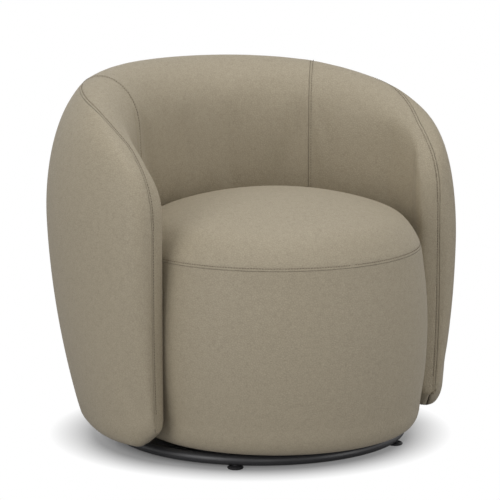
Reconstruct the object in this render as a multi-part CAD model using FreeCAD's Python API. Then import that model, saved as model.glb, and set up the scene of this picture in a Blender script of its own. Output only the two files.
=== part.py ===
import FreeCAD, Part
import math
import os

# Swivel accent chair: an upholstered C-shaped back and arm shell around a
# barrel-shaped seat drum, turning on a low steel ring base.
# Sizes are in millimetres, Z is up, the front of the chair looks along -Y.
# Everything is laid out about the swivel axis and moved at the end, so that
# the origin lies on the floor under the middle of the whole chair.

V = FreeCAD.Vector

# Base ring and its cross arms
ring_radius = 269.0
ring_tube_diameter = 20.0
ring_wall = 2.0
ring_floor_gap = 6.5
cross_bar_width = 30.0
cross_bar_height = 12.0
cross_bar_wall = 2.0
centre_plate_side = 210.0
centre_plate_thickness = 3.0

# Levelling glides
glide_angle = 40.3
glide_pad_diameter = 30.0
glide_stud_diameter = 8.0
glide_collar_diameter = 16.0
glide_sole_diameter = 22.0
glide_rim_height = 3.0
glide_insert_wall = 2.0

# Swivel bearing
bearing_plate_side = 170.0
bearing_plate_thickness = 3.0
ball_diameter = 6.0
ball_count = 16
ball_circle_radius = 52.0
ball_groove_depth = 1.4
cage_thickness = 1.2
cage_width = 12.0
rivet_hole_radius = 12.0
rivet_wall = 2.0
rivet_flange = 5.0
bearing_bolt_diameter = 6.0
bearing_bolt_spread = 70.0
lower_head_thickness = 2.6
upper_head_thickness = 1.6

# Seat drum
drum_offset = 59.0
drum_seam_radius = 272.0
drum_middle_radius = 286.0
drum_middle_z = 215.0
drum_bottom_radius = 243.0
drum_corner_height = 42.0
seat_seam_z = 376.0
seat_crown_z = 481.0
seat_shoulder_radius = 228.0
seat_shoulder_z = 441.0
drum_board_thickness = 15.0
drum_wrap_thickness = 2.5
drum_post_count = 8
drum_post_width = 45.0
drum_post_depth = 22.0
seat_rail_width = 42.0
seat_rail_thickness = 18.0
spring_count = 5
spring_spacing = 82.0
spring_wire = 3.6
spring_turn_radius = 11.0
spring_half_width = 26.0
clip_thickness = 1.2
clip_width = 24.0
clip_length = 16.0
felt_thickness = 3.0
layer_gap = 0.3

# Back and arm shell
shell_offset = 18.0
shell_radius = 392.0
shell_bottom_z = 37.0
shell_wide_z = 437.0
shell_wide_drop = 170.0
shell_top_z = 697.0
arm_top_z = 440.0
shell_bottom_inset = 58.0
nose_angle = 111.0
nose_radius = 41.0
nose_middle = 350.0
nose_bulge_share = 0.38
nose_lean = 7.0
nose_inner_square = 5.0
nose_outer_square = 2.7
nose_rise_power = 1.2
inside_radius = 271.0
inside_bulge = 10.0
neck_low_rise = 6.0
neck_high_rise = 36.0
rim_apex_share = 0.44
nose_apex_share = 0.53
rim_inner_drop_share = 0.14
nose_inner_drop_share = 0.02
arm_fall_power = 1.64
arm_fall_root = 0.38
bottom_corner = 18.0
nose_bottom_corner = 44.0
corner_width_share = 0.62
nose_corner_width_share = 0.6
nose_bottom_rise = 32.0
inner_bottom_corner = 15.0
nose_inner_corner = 20.0
seam_wall_radius = 327.0
board_wall_radius = 315.0
board_wall_centre_y = 3.0
board_wall_front_x = 328.0
seam_wall_angle = 105.0
seam_front_x = 308.0
back_seam_angle = 34.8
back_seam_origin_y = -144.0
cover_thickness = 4.0
foam_thickness = 18.0
frame_board = 15.0
rib_thickness = 18.0
back_rib_angles = (-48.0, 0.0, 48.0)
arm_rib_angles = (-102.0, -76.0, 76.0, 102.0)
panel_thickness = 3.0
upper_rail_drop = 87.0
middle_rail_z = 380.0
joint_bolt_diameter = 8.0
joint_bolt_head = 18.0
joint_batten_width = 60.0
joint_batten_depth = 24.0
joint_bolt_low_z = 130.0
joint_bolt_high_z = 300.0
cloth_thickness = 1.0

# Clearances
drum_to_shell_gap = 0.8
running_gap = 0.05
moving_gap = 0.3

# Heights that follow from the sizes above
ring_z = ring_floor_gap + ring_tube_diameter / 2.0
ring_top_z = ring_floor_gap + ring_tube_diameter
bar_bottom_z = ring_z - cross_bar_height / 2.0
bar_top_z = bar_bottom_z + cross_bar_height
plate_top_z = bar_top_z + centre_plate_thickness
lower_race_top_z = plate_top_z + bearing_plate_thickness
ball_z = lower_race_top_z - ball_groove_depth + running_gap + ball_diameter / 2.0
upper_race_bottom_z = ball_z + ball_diameter / 2.0 + running_gap - ball_groove_depth
upper_race_top_z = upper_race_bottom_z + bearing_plate_thickness
drum_bottom_z = upper_race_top_z - cover_thickness
board_top_z = upper_race_top_z + drum_board_thickness
rail_top_z = seat_seam_z - 23.0
rail_bottom_z = rail_top_z - seat_rail_thickness
clip_top_z = rail_top_z + spring_wire + clip_thickness
felt_bottom_z = clip_top_z + layer_gap
felt_top_z = felt_bottom_z + felt_thickness
neck_low_z = seat_seam_z + neck_low_rise
neck_high_z = seat_seam_z + neck_high_rise
upper_rail_z = shell_top_z - upper_rail_drop
front_reach = drum_offset + drum_middle_radius
back_reach = shell_offset + shell_radius
frame_shift_y = (front_reach - back_reach) / 2.0
shell_to_drum = shell_offset + drum_offset
cavity_inset = cover_thickness + foam_thickness
frame_inset = cavity_inset + layer_gap
board_inset = frame_inset + panel_thickness

os.makedirs("parts", exist_ok=True)


def save(name, shape):
    """Moves a finished shape into the shared frame and writes it."""
    placed = shape.copy()
    placed.translate(V(0, frame_shift_y, 0))
    placed.exportStep("parts/" + name + ".step")
    print(name, len(placed.Solids), "solids", round(placed.Volume / 1000.0, 1), "cm3", placed.isValid())


def disc(radius, z_low, z_high, x=0.0, y=0.0):
    """Returns a plain upright cylinder between two heights."""
    return Part.makeCylinder(radius, z_high - z_low, V(x, y, z_low))


def box(x_low, x_high, y_low, y_high, z_low, z_high):
    """Returns a box between three pairs of limits."""
    return Part.makeBox(x_high - x_low, y_high - y_low, z_high - z_low, V(x_low, y_low, z_low))


def turned(shape, angle, x=0.0, y=0.0):
    """Returns a copy turned about an upright line, in degrees."""
    copy = shape.copy()
    copy.rotate(V(x, y, 0), V(0, 0, 1), angle)
    return copy


def moved(shape, x, y, z):
    """Returns a copy moved by the given distances."""
    copy = shape.copy()
    copy.translate(V(x, y, z))
    return copy


def arc(a, b, c):
    """Returns the edge of a circular arc through three points."""
    return Part.Arc(a, b, c).toShape()


def line(a, b):
    """Returns a straight edge."""
    return Part.LineSegment(a, b).toShape()


def revolve(edges, centre_y):
    """Returns the solid that a closed outline in the XZ plane sweeps about an upright axis."""
    face = Part.Face(Part.Wire(edges))
    solid = face.revolve(V(0, 0, 0), V(0, 0, 1), 360)
    solid = Part.Solid(Part.Shell(solid.Faces)) if solid.ShapeType != "Solid" else solid
    solid.translate(V(0, centre_y, 0))
    return solid


def group(shapes):
    """Returns one compound that holds several solids of one node."""
    return Part.Compound(shapes)


def four(shape):
    """Returns four copies of a shape at the corners of a square about the axis."""
    return [turned(shape, 90.0 * step) for step in range(4)]


# Base ring
ring_outer = Part.makeTorus(ring_radius, ring_tube_diameter / 2.0, V(0, 0, ring_z))
ring_bore = Part.makeTorus(ring_radius, ring_tube_diameter / 2.0 - ring_wall, V(0, 0, ring_z))
glide_spots = []
for side in (-1, 1):
    for end in (-1, 1):
        spot_x = side * ring_radius * math.sin(math.radians(glide_angle))
        spot_y = end * ring_radius * math.cos(math.radians(glide_angle))
        glide_spots.append((side, end, spot_x, spot_y))
insert_radius = glide_stud_diameter / 2.0 + glide_insert_wall
insert_bottom_z = ring_floor_gap + 0.2
insert_top_z = ring_top_z - ring_wall / 2.0
base_ring = ring_outer.cut(ring_bore)
for side, end, spot_x, spot_y in glide_spots:
    base_ring = base_ring.cut(disc(insert_radius, 0, insert_top_z, spot_x, spot_y))
save("base_ring", base_ring)

# Threaded inserts in the ring for the glides
inserts = []
stud_hole = glide_stud_diameter / 2.0 + running_gap
for side, end, spot_x, spot_y in glide_spots:
    sleeve = disc(insert_radius, insert_bottom_z, insert_top_z, spot_x, spot_y)
    hole = disc(stud_hole, 0, insert_top_z - ring_wall / 2.0, spot_x, spot_y)
    inserts.append(sleeve.cut(hole))
save("glide_inserts", group(inserts))

# Levelling glides: a domed pad on a stud that screws into the insert
collar_z = insert_bottom_z - moving_gap
pad_edge = V(glide_pad_diameter / 2.0, 0, glide_rim_height)
pad_sole = V(glide_sole_diameter / 2.0, 0, 0)
pad_side = V(glide_pad_diameter / 2.0 - 0.9, 0, glide_rim_height * 0.36)
pad_neck = V(glide_collar_diameter / 2.0, 0, collar_z)
pad_dome = V(glide_pad_diameter / 2.0 - 2.4, 0, glide_rim_height + 0.66 * (collar_z - glide_rim_height))
stud_low_z = 2.0
stud_high_z = insert_top_z - ring_wall / 2.0 - moving_gap
pad_edges = [
    line(V(0, 0, 0), pad_sole),
    arc(pad_sole, pad_side, pad_edge),
    arc(pad_edge, pad_dome, pad_neck),
    line(pad_neck, V(0, 0, collar_z)),
    line(V(0, 0, collar_z), V(0, 0, 0))]
pad = revolve(pad_edges, 0.0)
pad = pad.cut(disc(glide_stud_diameter / 2.0, stud_low_z, collar_z + 1.0))
stud = disc(glide_stud_diameter / 2.0, stud_low_z, stud_high_z)
side_words = {-1: "left", 1: "right"}
end_words = {-1: "front", 1: "back"}
for side, end, spot_x, spot_y in glide_spots:
    place = end_words[end] + "_" + side_words[side]
    save("glide_pad_" + place, moved(pad, spot_x, spot_y, 0))
    save("glide_stud_" + place, moved(stud, spot_x, spot_y, 0))

# Crossed bars of rectangular tube from ring to ring
half_bar = cross_bar_width / 2.0
bar_length = ring_radius


def cross_bar(angle, reach_low, reach_high):
    """Returns a hollow bar along a direction that is measured from the front-back line."""
    outer = box(-half_bar, half_bar, reach_low, reach_high, bar_bottom_z, bar_top_z)
    inner = box(-half_bar + cross_bar_wall, half_bar - cross_bar_wall, reach_low - 1.0, reach_high + 1.0,
                bar_bottom_z + cross_bar_wall, bar_top_z - cross_bar_wall)
    bar = turned(outer.cut(inner), angle)
    return bar.cut(ring_outer)


long_bar = cross_bar(-glide_angle, -bar_length, bar_length)
long_solid = max(long_bar.Solids, key=lambda solid: solid.Volume)
save("cross_bar_long", long_solid)
long_block = turned(box(-half_bar, half_bar, -bar_length, bar_length, bar_bottom_z, bar_top_z), -glide_angle)
short_bars = []
for half in (-1, 1):
    low, high = (0.0, bar_length) if half > 0 else (-bar_length, 0.0)
    short = cross_bar(glide_angle, low, high).cut(long_block)
    short_bars.append(max(short.Solids, key=lambda solid: solid.Volume))
save("cross_bars_short", group(short_bars))

# Centre plate welded on the crossing, with the bolt holes of the bearing
half_plate = centre_plate_side / 2.0
bolt_reach = bearing_bolt_spread
bolt_hole = bearing_bolt_diameter / 2.0 + 0.3
centre_plate = box(-half_plate, half_plate, -half_plate, half_plate, bar_top_z, plate_top_z)
centre_plate = centre_plate.common(disc(half_plate * 1.2, bar_top_z, plate_top_z))
centre_plate = centre_plate.cut(disc(rivet_hole_radius + rivet_flange + 2.0, 0, plate_top_z + 1.0))
centre_plate = centre_plate.cut(group(four(disc(bolt_hole, 0, plate_top_z + 1.0, bolt_reach, bolt_reach))))
save("centre_plate", turned(centre_plate, 45.0))

# Lower bearing plate with its ball groove
half_race = bearing_plate_side / 2.0
groove_radius = ball_diameter / 2.0 + running_gap


def race_plate(z_low, z_high):
    """Returns a square plate with clipped corners, its groove, rivet hole and bolt holes."""
    plate = box(-half_race, half_race, -half_race, half_race, z_low, z_high)
    plate = plate.common(disc(half_race * 1.28, z_low, z_high))
    plate = plate.cut(Part.makeTorus(ball_circle_radius, groove_radius, V(0, 0, ball_z)))
    return plate


lower_race = race_plate(plate_top_z, lower_race_top_z)
lower_race = lower_race.cut(disc(rivet_hole_radius, 0, lower_race_top_z + 1.0))
lower_race = lower_race.cut(group(four(disc(bolt_hole, 0, lower_race_top_z + 1.0, bolt_reach, bolt_reach))))
save("bearing_plate_lower", turned(lower_race, 45.0))

# Bolts and nuts that hold the lower bearing plate
nut_thickness = 4.0
nut_corner = bearing_bolt_diameter * 0.96
nut_low_z = bar_top_z - nut_thickness
bolt_spot_x = bolt_reach * math.sqrt(2.0)
shank = disc(bearing_bolt_diameter / 2.0, nut_low_z - 1.0, lower_race_top_z, bolt_spot_x, 0)
head_top_z = lower_race_top_z + lower_head_thickness
head = disc(bearing_bolt_diameter * 0.85, lower_race_top_z, head_top_z, bolt_spot_x, 0)
save("lower_plate_bolts", group(four(shank.fuse(head).removeSplitter())))
corners = []
for corner in range(7):
    lean = math.radians(60.0 * corner)
    corners.append(V(bolt_spot_x + nut_corner * math.cos(lean), nut_corner * math.sin(lean), nut_low_z))
nut = Part.Face(Part.makePolygon(corners)).extrude(V(0, 0, nut_thickness))
nut = nut.cut(disc(bearing_bolt_diameter / 2.0, 0, bar_top_z + 1.0, bolt_spot_x, 0))
save("lower_plate_nuts", group(four(nut)))

# Ball cage and balls, which follow at half the turn of the seat
cage_low = ball_z - cage_thickness / 2.0
cage = disc(ball_circle_radius + cage_width / 2.0, cage_low, cage_low + cage_thickness)
cage = cage.cut(disc(ball_circle_radius - cage_width / 2.0, cage_low - 1.0, cage_low + cage_thickness + 1.0))
balls = []
for index in range(ball_count):
    turn = 2.0 * math.pi * index / ball_count
    ball_x = ball_circle_radius * math.cos(turn)
    ball_y = ball_circle_radius * math.sin(turn)
    balls.append(Part.makeSphere(ball_diameter / 2.0, V(ball_x, ball_y, ball_z)))
    cage = cage.cut(disc(ball_diameter / 2.0 + running_gap, cage_low - 1.0, cage_low + 3.0, ball_x, ball_y))
save("ball_cage", cage)
save("bearing_balls", group(balls))

# Upper bearing plate
upper_race = race_plate(upper_race_bottom_z, upper_race_top_z)
upper_race = upper_race.cut(disc(rivet_hole_radius + running_gap, 0, upper_race_top_z + 1.0))
upper_spread = half_race - 12.0
upper_race = upper_race.cut(group(four(disc(bolt_hole, 0, upper_race_top_z + 1.0, upper_spread, 0))))
save("bearing_plate_upper", turned(upper_race, 45.0))

# Hollow rivet that keeps the two bearing plates together
rivet_shank = disc(rivet_hole_radius - running_gap, plate_top_z - 2.0, upper_race_top_z + moving_gap)
rivet_low = disc(rivet_hole_radius + rivet_flange, plate_top_z - 2.0, plate_top_z)
rivet_high = disc(rivet_hole_radius + rivet_flange, upper_race_top_z + moving_gap,
                  upper_race_top_z + moving_gap + 2.0)
rivet = rivet_shank.fuse(rivet_low).fuse(rivet_high).removeSplitter()
rivet = rivet.cut(disc(rivet_hole_radius - rivet_wall, 0, upper_race_top_z + 5.0))
save("bearing_rivet", rivet)

# Bolts and tee nuts between the upper plate and the drum board
tee_spot = (upper_spread, 0.0)
tee_barrel = bearing_bolt_diameter / 2.0 + 1.2
bolt_head_low_z = upper_race_bottom_z - upper_head_thickness
plate_shank = disc(bearing_bolt_diameter / 2.0, upper_race_bottom_z, board_top_z - 1.0, *tee_spot)
plate_head = disc(bearing_bolt_diameter * 0.85, bolt_head_low_z, upper_race_bottom_z, *tee_spot)
plate_bolt = plate_shank.fuse(plate_head).removeSplitter()
tee_flange = disc(bearing_bolt_diameter * 1.5, board_top_z, board_top_z + 1.2, *tee_spot)
tee_body = disc(tee_barrel, upper_race_top_z + 5.0, board_top_z, *tee_spot)
plate_tee = tee_flange.fuse(tee_body).removeSplitter()
plate_tee = plate_tee.cut(disc(bearing_bolt_diameter / 2.0, 0, board_top_z + 5.0, *tee_spot))
save("upper_plate_bolts", group([turned(piece, 45.0) for piece in four(plate_bolt)]))
save("upper_plate_tee_nuts", group([turned(piece, 45.0) for piece in four(plate_tee)]))

# Drum bottom board
board_radius = drum_bottom_radius - cover_thickness
drum_board = disc(board_radius, upper_race_top_z, board_top_z, 0, -drum_offset)
drum_board = drum_board.cut(disc(rivet_hole_radius + rivet_flange + 3.0, 0, board_top_z + 1.0))
for piece in four(disc(bolt_hole, 0, board_top_z + 1.0, *tee_spot)):
    drum_board = drum_board.cut(turned(piece, 45.0))
for piece in four(disc(tee_barrel, upper_race_top_z + 5.0, board_top_z + 1.0, *tee_spot)):
    drum_board = drum_board.cut(turned(piece, 45.0))
save("drum_bottom_board", drum_board)

# Upright posts between the bottom board and the seat rail
post_half_step = 180.0 / drum_post_count
bolt_head_outer = board_radius - drum_post_depth - 4.0
batten_low = drum_middle_radius + drum_to_shell_gap
batten_high = batten_low + cavity_inset + joint_batten_depth
nut_low = batten_high + layer_gap
nut_high = nut_low + 7.0


def joint_holes(radius, reach_low, reach_high):
    """Returns the four level cylinders of the bolts that join shell and drum."""
    rods = []
    for angle in (-post_half_step, post_half_step):
        for height in (joint_bolt_low_z, joint_bolt_high_z):
            rod = Part.makeCylinder(radius, reach_high - reach_low, V(0, reach_low, height), V(0, 1, 0))
            rods.append(moved(turned(rod, angle), 0, -drum_offset, 0))
    return rods


def drilled(shape):
    """Returns a shape with the four bolt holes through it."""
    return shape.cut(group(joint_holes(joint_bolt_diameter / 2.0 + running_gap, 100.0, 500.0)))


post = box(-drum_post_width / 2.0, drum_post_width / 2.0, board_radius - drum_post_depth - 4.0,
           board_radius - 4.0, board_top_z, rail_bottom_z)
posts = []
for index in range(drum_post_count):
    angle = 360.0 * (index + 0.5) / drum_post_count
    posts.append(moved(turned(post, angle), 0, -drum_offset, 0))
save("drum_posts", group([drilled(piece) for piece in posts]))

# Seat rail ring that carries the springs
rail_outer = board_radius
rail = disc(rail_outer, rail_bottom_z, rail_top_z, 0, -drum_offset)
rail = rail.cut(disc(rail_outer - seat_rail_width, rail_bottom_z - 1.0, rail_top_z + 1.0, 0, -drum_offset))
save("seat_rail", rail)

# Band of thin board round the posts
wrap_inner = board_radius
wrap_outer = board_radius + drum_wrap_thickness
wrap = disc(wrap_outer, upper_race_top_z, rail_top_z, 0, -drum_offset)
wrap = wrap.cut(disc(wrap_inner, 0, rail_top_z + 1.0, 0, -drum_offset))
save("drum_wrap_board", drilled(wrap))

# Zigzag springs across the rail, each one unbroken wire, and their clips
springs = []
clips = []
rail_middle = rail_outer - seat_rail_width / 2.0
wire_z = rail_top_z + spring_wire / 2.0
half_straight = spring_half_width - spring_turn_radius
for index in range(spring_count):
    spring_x = (index - (spring_count - 1) / 2.0) * spring_spacing
    half_span = math.sqrt(rail_middle ** 2 - spring_x ** 2)
    turn_count = int(2.0 * half_span / (2.0 * spring_turn_radius))
    start_y = -turn_count * spring_turn_radius
    wire_edges = []
    side = 1.0
    for turn in range(turn_count):
        y_now = start_y + 2.0 * spring_turn_radius * turn
        y_next = y_now + 2.0 * spring_turn_radius
        far_x = spring_x + side * half_straight
        wire_edges.append(line(V(spring_x - side * half_straight, y_now, wire_z), V(far_x, y_now, wire_z)))
        wire_edges.append(arc(V(far_x, y_now, wire_z),
                              V(far_x + side * spring_turn_radius, y_now + spring_turn_radius, wire_z),
                              V(far_x, y_next, wire_z)))
        side = -side
    y_end = start_y + 2.0 * spring_turn_radius * turn_count
    wire_edges.append(line(V(spring_x - side * half_straight, y_end, wire_z),
                           V(spring_x + side * half_straight, y_end, wire_z)))
    path = Part.Wire(wire_edges)
    start = V(spring_x - half_straight, start_y, wire_z)
    ring = Part.Wire(Part.makeCircle(spring_wire / 2.0, start, V(1, 0, 0)))
    spring = path.makePipeShell([ring], True, False)
    springs.append(moved(spring, 0, -drum_offset, 0))
    for end_y in (start_y, y_end):
        clip = box(spring_x - clip_width / 4.0, spring_x + clip_width / 4.0, end_y - clip_length / 2.0,
                   end_y + clip_length / 2.0, rail_top_z, clip_top_z)
        groove = box(spring_x - clip_width, spring_x + clip_width, end_y - spring_wire / 2.0 - layer_gap,
                     end_y + spring_wire / 2.0 + layer_gap, rail_top_z - 1.0, rail_top_z + spring_wire + 0.1)
        clips.append(moved(clip.cut(groove), 0, -drum_offset, 0))
save("seat_springs", group(springs))
save("spring_clips", group(clips))


def drum_outline(inset, low_z):
    """Returns the radii and heights of the drum's side profile, drawn in by an inset."""
    bottom = V(drum_bottom_radius - inset, 0, low_z)
    corner = V(drum_bottom_radius + 0.74 * (drum_seam_radius - drum_bottom_radius) - inset, 0,
               drum_bottom_z + 0.29 * drum_corner_height + inset * 0.7)
    shoulder = V(drum_seam_radius - inset, 0, drum_bottom_z + drum_corner_height)
    middle = V(drum_middle_radius - inset, 0, drum_middle_z)
    seam = V(drum_seam_radius - inset, 0, seat_seam_z)
    return bottom, corner, shoulder, middle, seam


# Foam band round the drum
band_inner = wrap_outer
bottom, corner, shoulder, middle, seam = drum_outline(cover_thickness, drum_bottom_z + cover_thickness)
foam_top_z = felt_bottom_z
seam = V(seam.x, 0, foam_top_z)
band_edges = [
    line(V(band_inner, 0, foam_top_z), V(band_inner, 0, bottom.z)),
    line(V(band_inner, 0, bottom.z), V(band_inner + 1.5, 0, bottom.z)),
    arc(V(band_inner + 1.5, 0, bottom.z), V(corner.x, 0, corner.z), shoulder),
    arc(shoulder, middle, seam),
    line(seam, V(band_inner, 0, foam_top_z))]
save("drum_band_foam", drilled(revolve(band_edges, -drum_offset)))

# Cover of the drum side, turned under at the bottom
outer = drum_outline(0.0, drum_bottom_z)
inner = drum_outline(cover_thickness, drum_bottom_z + cover_thickness)
hem_radius = drum_bottom_radius - 26.0
cover_edges = [
    line(V(hem_radius, 0, drum_bottom_z), outer[0]),
    arc(outer[0], outer[1], outer[2]),
    arc(outer[2], outer[3], outer[4]),
    line(outer[4], V(inner[4].x, 0, seat_seam_z)),
    line(V(inner[4].x, 0, seat_seam_z), V(inner[4].x, 0, foam_top_z)),
    arc(V(inner[4].x, 0, foam_top_z), inner[3], inner[2]),
    arc(inner[2], inner[1], V(band_inner + 1.5, 0, inner[0].z)),
    line(V(band_inner + 1.5, 0, inner[0].z), V(hem_radius, 0, inner[0].z)),
    line(V(hem_radius, 0, inner[0].z), V(hem_radius, 0, drum_bottom_z))]
save("drum_side_cover", drilled(revolve(cover_edges, -drum_offset)))

# Felt pad over the springs
felt = disc(drum_seam_radius - cover_thickness, felt_bottom_z, felt_top_z, 0, -drum_offset)
save("spring_felt", felt)


def dome_edges(inset):
    """Returns the half outline of the crowned seat top, drawn in by an inset."""
    edge = V(drum_seam_radius - inset, 0, seat_seam_z)
    shoulder = V(seat_shoulder_radius - inset * 0.6, 0, seat_shoulder_z - inset * 0.8)
    crown = V(0, 0, seat_crown_z - inset)
    drop = crown.z - shoulder.z
    curve = shoulder.x ** 2 / (2.0 * drop) + drop / 2.0
    half = V(shoulder.x / 2.0, 0, crown.z - curve + math.sqrt(curve ** 2 - (shoulder.x / 2.0) ** 2))
    turn = V(edge.x - 0.40 * (edge.x - shoulder.x), 0, edge.z + 0.50 * (shoulder.z - edge.z))
    return [arc(edge, turn, shoulder), arc(shoulder, half, crown)], edge, crown


# Seat foam with its crown
curves, edge, crown = dome_edges(cover_thickness)
foam_edges = curves + [
    line(crown, V(0, 0, felt_top_z)),
    line(V(0, 0, felt_top_z), V(edge.x, 0, felt_top_z)),
    line(V(edge.x, 0, felt_top_z), edge)]
save("seat_foam", revolve(foam_edges, -drum_offset))

# Seat top cover
outer_curves, outer_edge, outer_crown = dome_edges(0.0)
top_edges = outer_curves + [
    line(outer_crown, crown),
    curves[1],
    curves[0],
    line(edge, outer_edge)]
top_edges = Part.__sortEdges__(top_edges)
save("seat_top_cover", revolve(top_edges, -drum_offset))

# Black cloth under the drum, round the bearing plate
cloth = disc(hem_radius - layer_gap, upper_race_top_z - cloth_thickness, upper_race_top_z, 0, -drum_offset)
cloth = cloth.cut(disc(half_race * 1.28 + 2.0, 0, upper_race_top_z + 1.0))
save("drum_dust_cover", cloth)


def reach_to_drum(angle, radius, advance=0.0):
    """Returns how far a circle about the drum lies from the shell's centre in a direction.

    The advance is how far the line of that direction is moved sideways, towards the front.
    """
    return (-shell_to_drum * math.cos(angle)
            + math.sqrt(radius ** 2 - (shell_to_drum * math.sin(angle) - advance) ** 2))


nose_turn = math.radians(nose_angle)
arm_front_y = shell_offset + nose_middle * math.cos(nose_turn) - nose_radius * math.sin(nose_turn)
arm_back_y = shell_offset + shell_radius * 0.85


def rim_height(y):
    """Returns the height of the rim, which falls along the arms towards their fronts."""
    share = (y - arm_front_y) / (arm_back_y - arm_front_y)
    share = min(1.0, max(0.0, share))
    return arm_top_z + (shell_top_z - arm_top_z) * (1.0 - (1.0 - share) ** arm_fall_power) ** arm_fall_root


def rounded(share, power):
    """Returns the half width of a superellipse at a share of its length."""
    return (1.0 - share ** power) ** (1.0 / power)


def section(angle_degrees, advance, inset):
    """Returns the closed upright outline of the shell in one direction.

    The advance moves a section past the last direction, round the front of an arm.
    The inset draws every side in, for the layers inside the cover.
    """
    angle = math.radians(angle_degrees)
    side = 1.0 if angle_degrees >= 0.0 else -1.0
    turn = abs(angle)
    start = nose_turn * 0.66
    blend = min(1.0, max(0.0, (turn - start) / (nose_turn - start)))
    blend = blend * blend * (3.0 - 2.0 * blend)
    nose_in = nose_middle - nose_radius
    nose_out = nose_middle + nose_radius
    low_in = reach_to_drum(turn, drum_middle_radius + drum_to_shell_gap)
    low_in = low_in + blend * (nose_in - reach_to_drum(nose_turn, drum_middle_radius + drum_to_shell_gap))
    high_in = reach_to_drum(turn, inside_radius) - inside_bulge * (1.0 - blend)
    high_in = high_in * (1.0 - blend) + low_in * blend
    out = shell_radius + blend * (nose_out - shell_radius)
    bulge = 1.0 + blend * (nose_bulge_share - 1.0)
    middle_y = shell_offset + 0.5 * (low_in + out) * math.cos(turn) - advance * math.sin(nose_turn)
    top = rim_height(middle_y) - inset
    low = shell_bottom_z + inset
    radius = nose_radius - inset
    ahead = advance / radius
    low = low + nose_bottom_rise * ahead ** nose_rise_power
    wide = min(shell_wide_z, top - shell_wide_drop + inset * 0.5)
    drop_share = rim_inner_drop_share + blend * (nose_inner_drop_share - rim_inner_drop_share)
    inner_start = top - drop_share * (top - low)
    neck_high = min(neck_high_z, inner_start - 22.0)
    neck_low = min(neck_low_z, neck_high - 30.0)
    low_in = low_in + inset
    high_in = high_in + inset
    out = out - inset
    apex = high_in + (rim_apex_share + blend * (nose_apex_share - rim_apex_share)) * (out - high_in)
    corner = bottom_corner + blend * (nose_bottom_corner - bottom_corner)
    corner = max(4.0, corner * (1.0 - inset / cavity_inset))
    bottom_out = out - shell_bottom_inset * bulge
    small = min(corner * 0.5, inner_bottom_corner + blend * (nose_inner_corner - inner_bottom_corner))
    width_share = corner_width_share + blend * (nose_corner_width_share - corner_width_share)
    wide_corner = min(corner * width_share, bottom_out - low_in - small - 2.0)
    drum_limit = reach_to_drum(turn, drum_middle_radius + drum_to_shell_gap, advance) + inset

    def at(r, z):
        if advance > 0.0:
            fall = max(0.0, (wide - z) / (wide - low))
            fold = nose_middle - nose_lean * (ahead * fall) ** 2
            if r < nose_middle:
                inner_end = max(fold - (fold - low_in) * rounded(ahead, nose_inner_square), drum_limit)
                r = fold - (nose_middle - r) * (fold - inner_end) / (nose_middle - low_in)
            else:
                r = fold + (r - nose_middle) * rounded(ahead, nose_outer_square)
        x = r * math.sin(turn) + advance * math.cos(nose_turn)
        y = shell_offset + r * math.cos(turn) - advance * math.sin(nose_turn)
        return V(side * x, y, z)

    def outer(share):
        lean = math.radians(90.0 * share)
        return at(apex + (out - apex) * math.cos(lean), wide + (top - wide) * math.sin(lean))

    def inner_rim(share):
        lean = math.radians(90.0 * share)
        height = inner_start + (top - inner_start) * math.cos(lean)
        return at(apex - (apex - high_in) * math.sin(lean), height)

    half_z = (low + corner + wide) / 2.0
    half_out = out - 0.30 * shell_bottom_inset * bulge
    mid_in_z = (inner_start + neck_high) / 2.0
    mid_in = high_in - 0.25 * inside_bulge * (1.0 - blend)
    diagonal = 1.0 - math.sqrt(0.5)
    edges = [
        arc(outer(0.0), outer(0.25), outer(0.5)),
        arc(outer(0.5), outer(0.75), outer(1.0)),
        arc(inner_rim(0.0), inner_rim(0.25), inner_rim(0.5)),
        arc(inner_rim(0.5), inner_rim(0.75), inner_rim(1.0)),
        arc(at(high_in, inner_start), at(mid_in - 0.5, mid_in_z), at(high_in, neck_high)),
        line(at(high_in, neck_high), at(low_in, neck_low)),
        line(at(low_in, neck_low), at(low_in, low + small)),
        arc(at(low_in, low + small), at(low_in + diagonal * small, low + diagonal * small),
            at(low_in + small, low)),
        line(at(low_in + small, low), at(bottom_out - wide_corner, low)),
        arc(at(bottom_out - wide_corner, low),
            at(bottom_out - diagonal * wide_corner, low + diagonal * corner),
            at(bottom_out, low + corner)),
        arc(at(bottom_out, low + corner), at(half_out, half_z), at(out, wide))]
    return Part.Wire(edges)


def shell_solid(inset):
    """Returns the whole back and arm form, drawn in by an inset."""
    radius = nose_radius - inset
    advances = [radius * share for share in (0.45, 0.78, 0.96)]
    wires = [section(-nose_angle, advance, inset) for advance in reversed(advances)]
    count = 14
    for index in range(count + 1):
        wires.append(section(-nose_angle + 2.0 * nose_angle * index / count, 0.0, inset))
    wires = wires + [section(nose_angle, advance, inset) for advance in advances]
    return Part.makeLoft(wires, True, False)


shell_outer = shell_solid(0.0)
shell_middle = shell_solid(cover_thickness)
shell_cavity = shell_solid(cavity_inset)
shell_frame = shell_solid(frame_inset)
shell_inner = shell_solid(board_inset)
for layer in (shell_outer, shell_middle, shell_cavity, shell_frame, shell_inner):
    print("shell layer", round(layer.Volume / 1000.0), "cm3", layer.isValid())

# Upright wedge that parts the back from the two arms along the seams of the inside back
reach = 900.0
seam_lean = math.radians(back_seam_angle)
wedge_wire = Part.makePolygon([
    V(0, back_seam_origin_y, -50),
    V(reach * math.sin(seam_lean), back_seam_origin_y + reach * math.cos(seam_lean), -50),
    V(-reach * math.sin(seam_lean), back_seam_origin_y + reach * math.cos(seam_lean), -50),
    V(0, back_seam_origin_y, -50)])
wedge = Part.Face(wedge_wire).extrude(V(0, 0, 900))


def arm_piece(shape, side):
    """Returns the largest solid of a shape on one side of the middle."""
    pieces = [piece for piece in shape.Solids if piece.CenterOfMass.x * side > 0]
    return max(pieces, key=lambda piece: piece.Volume)


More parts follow.
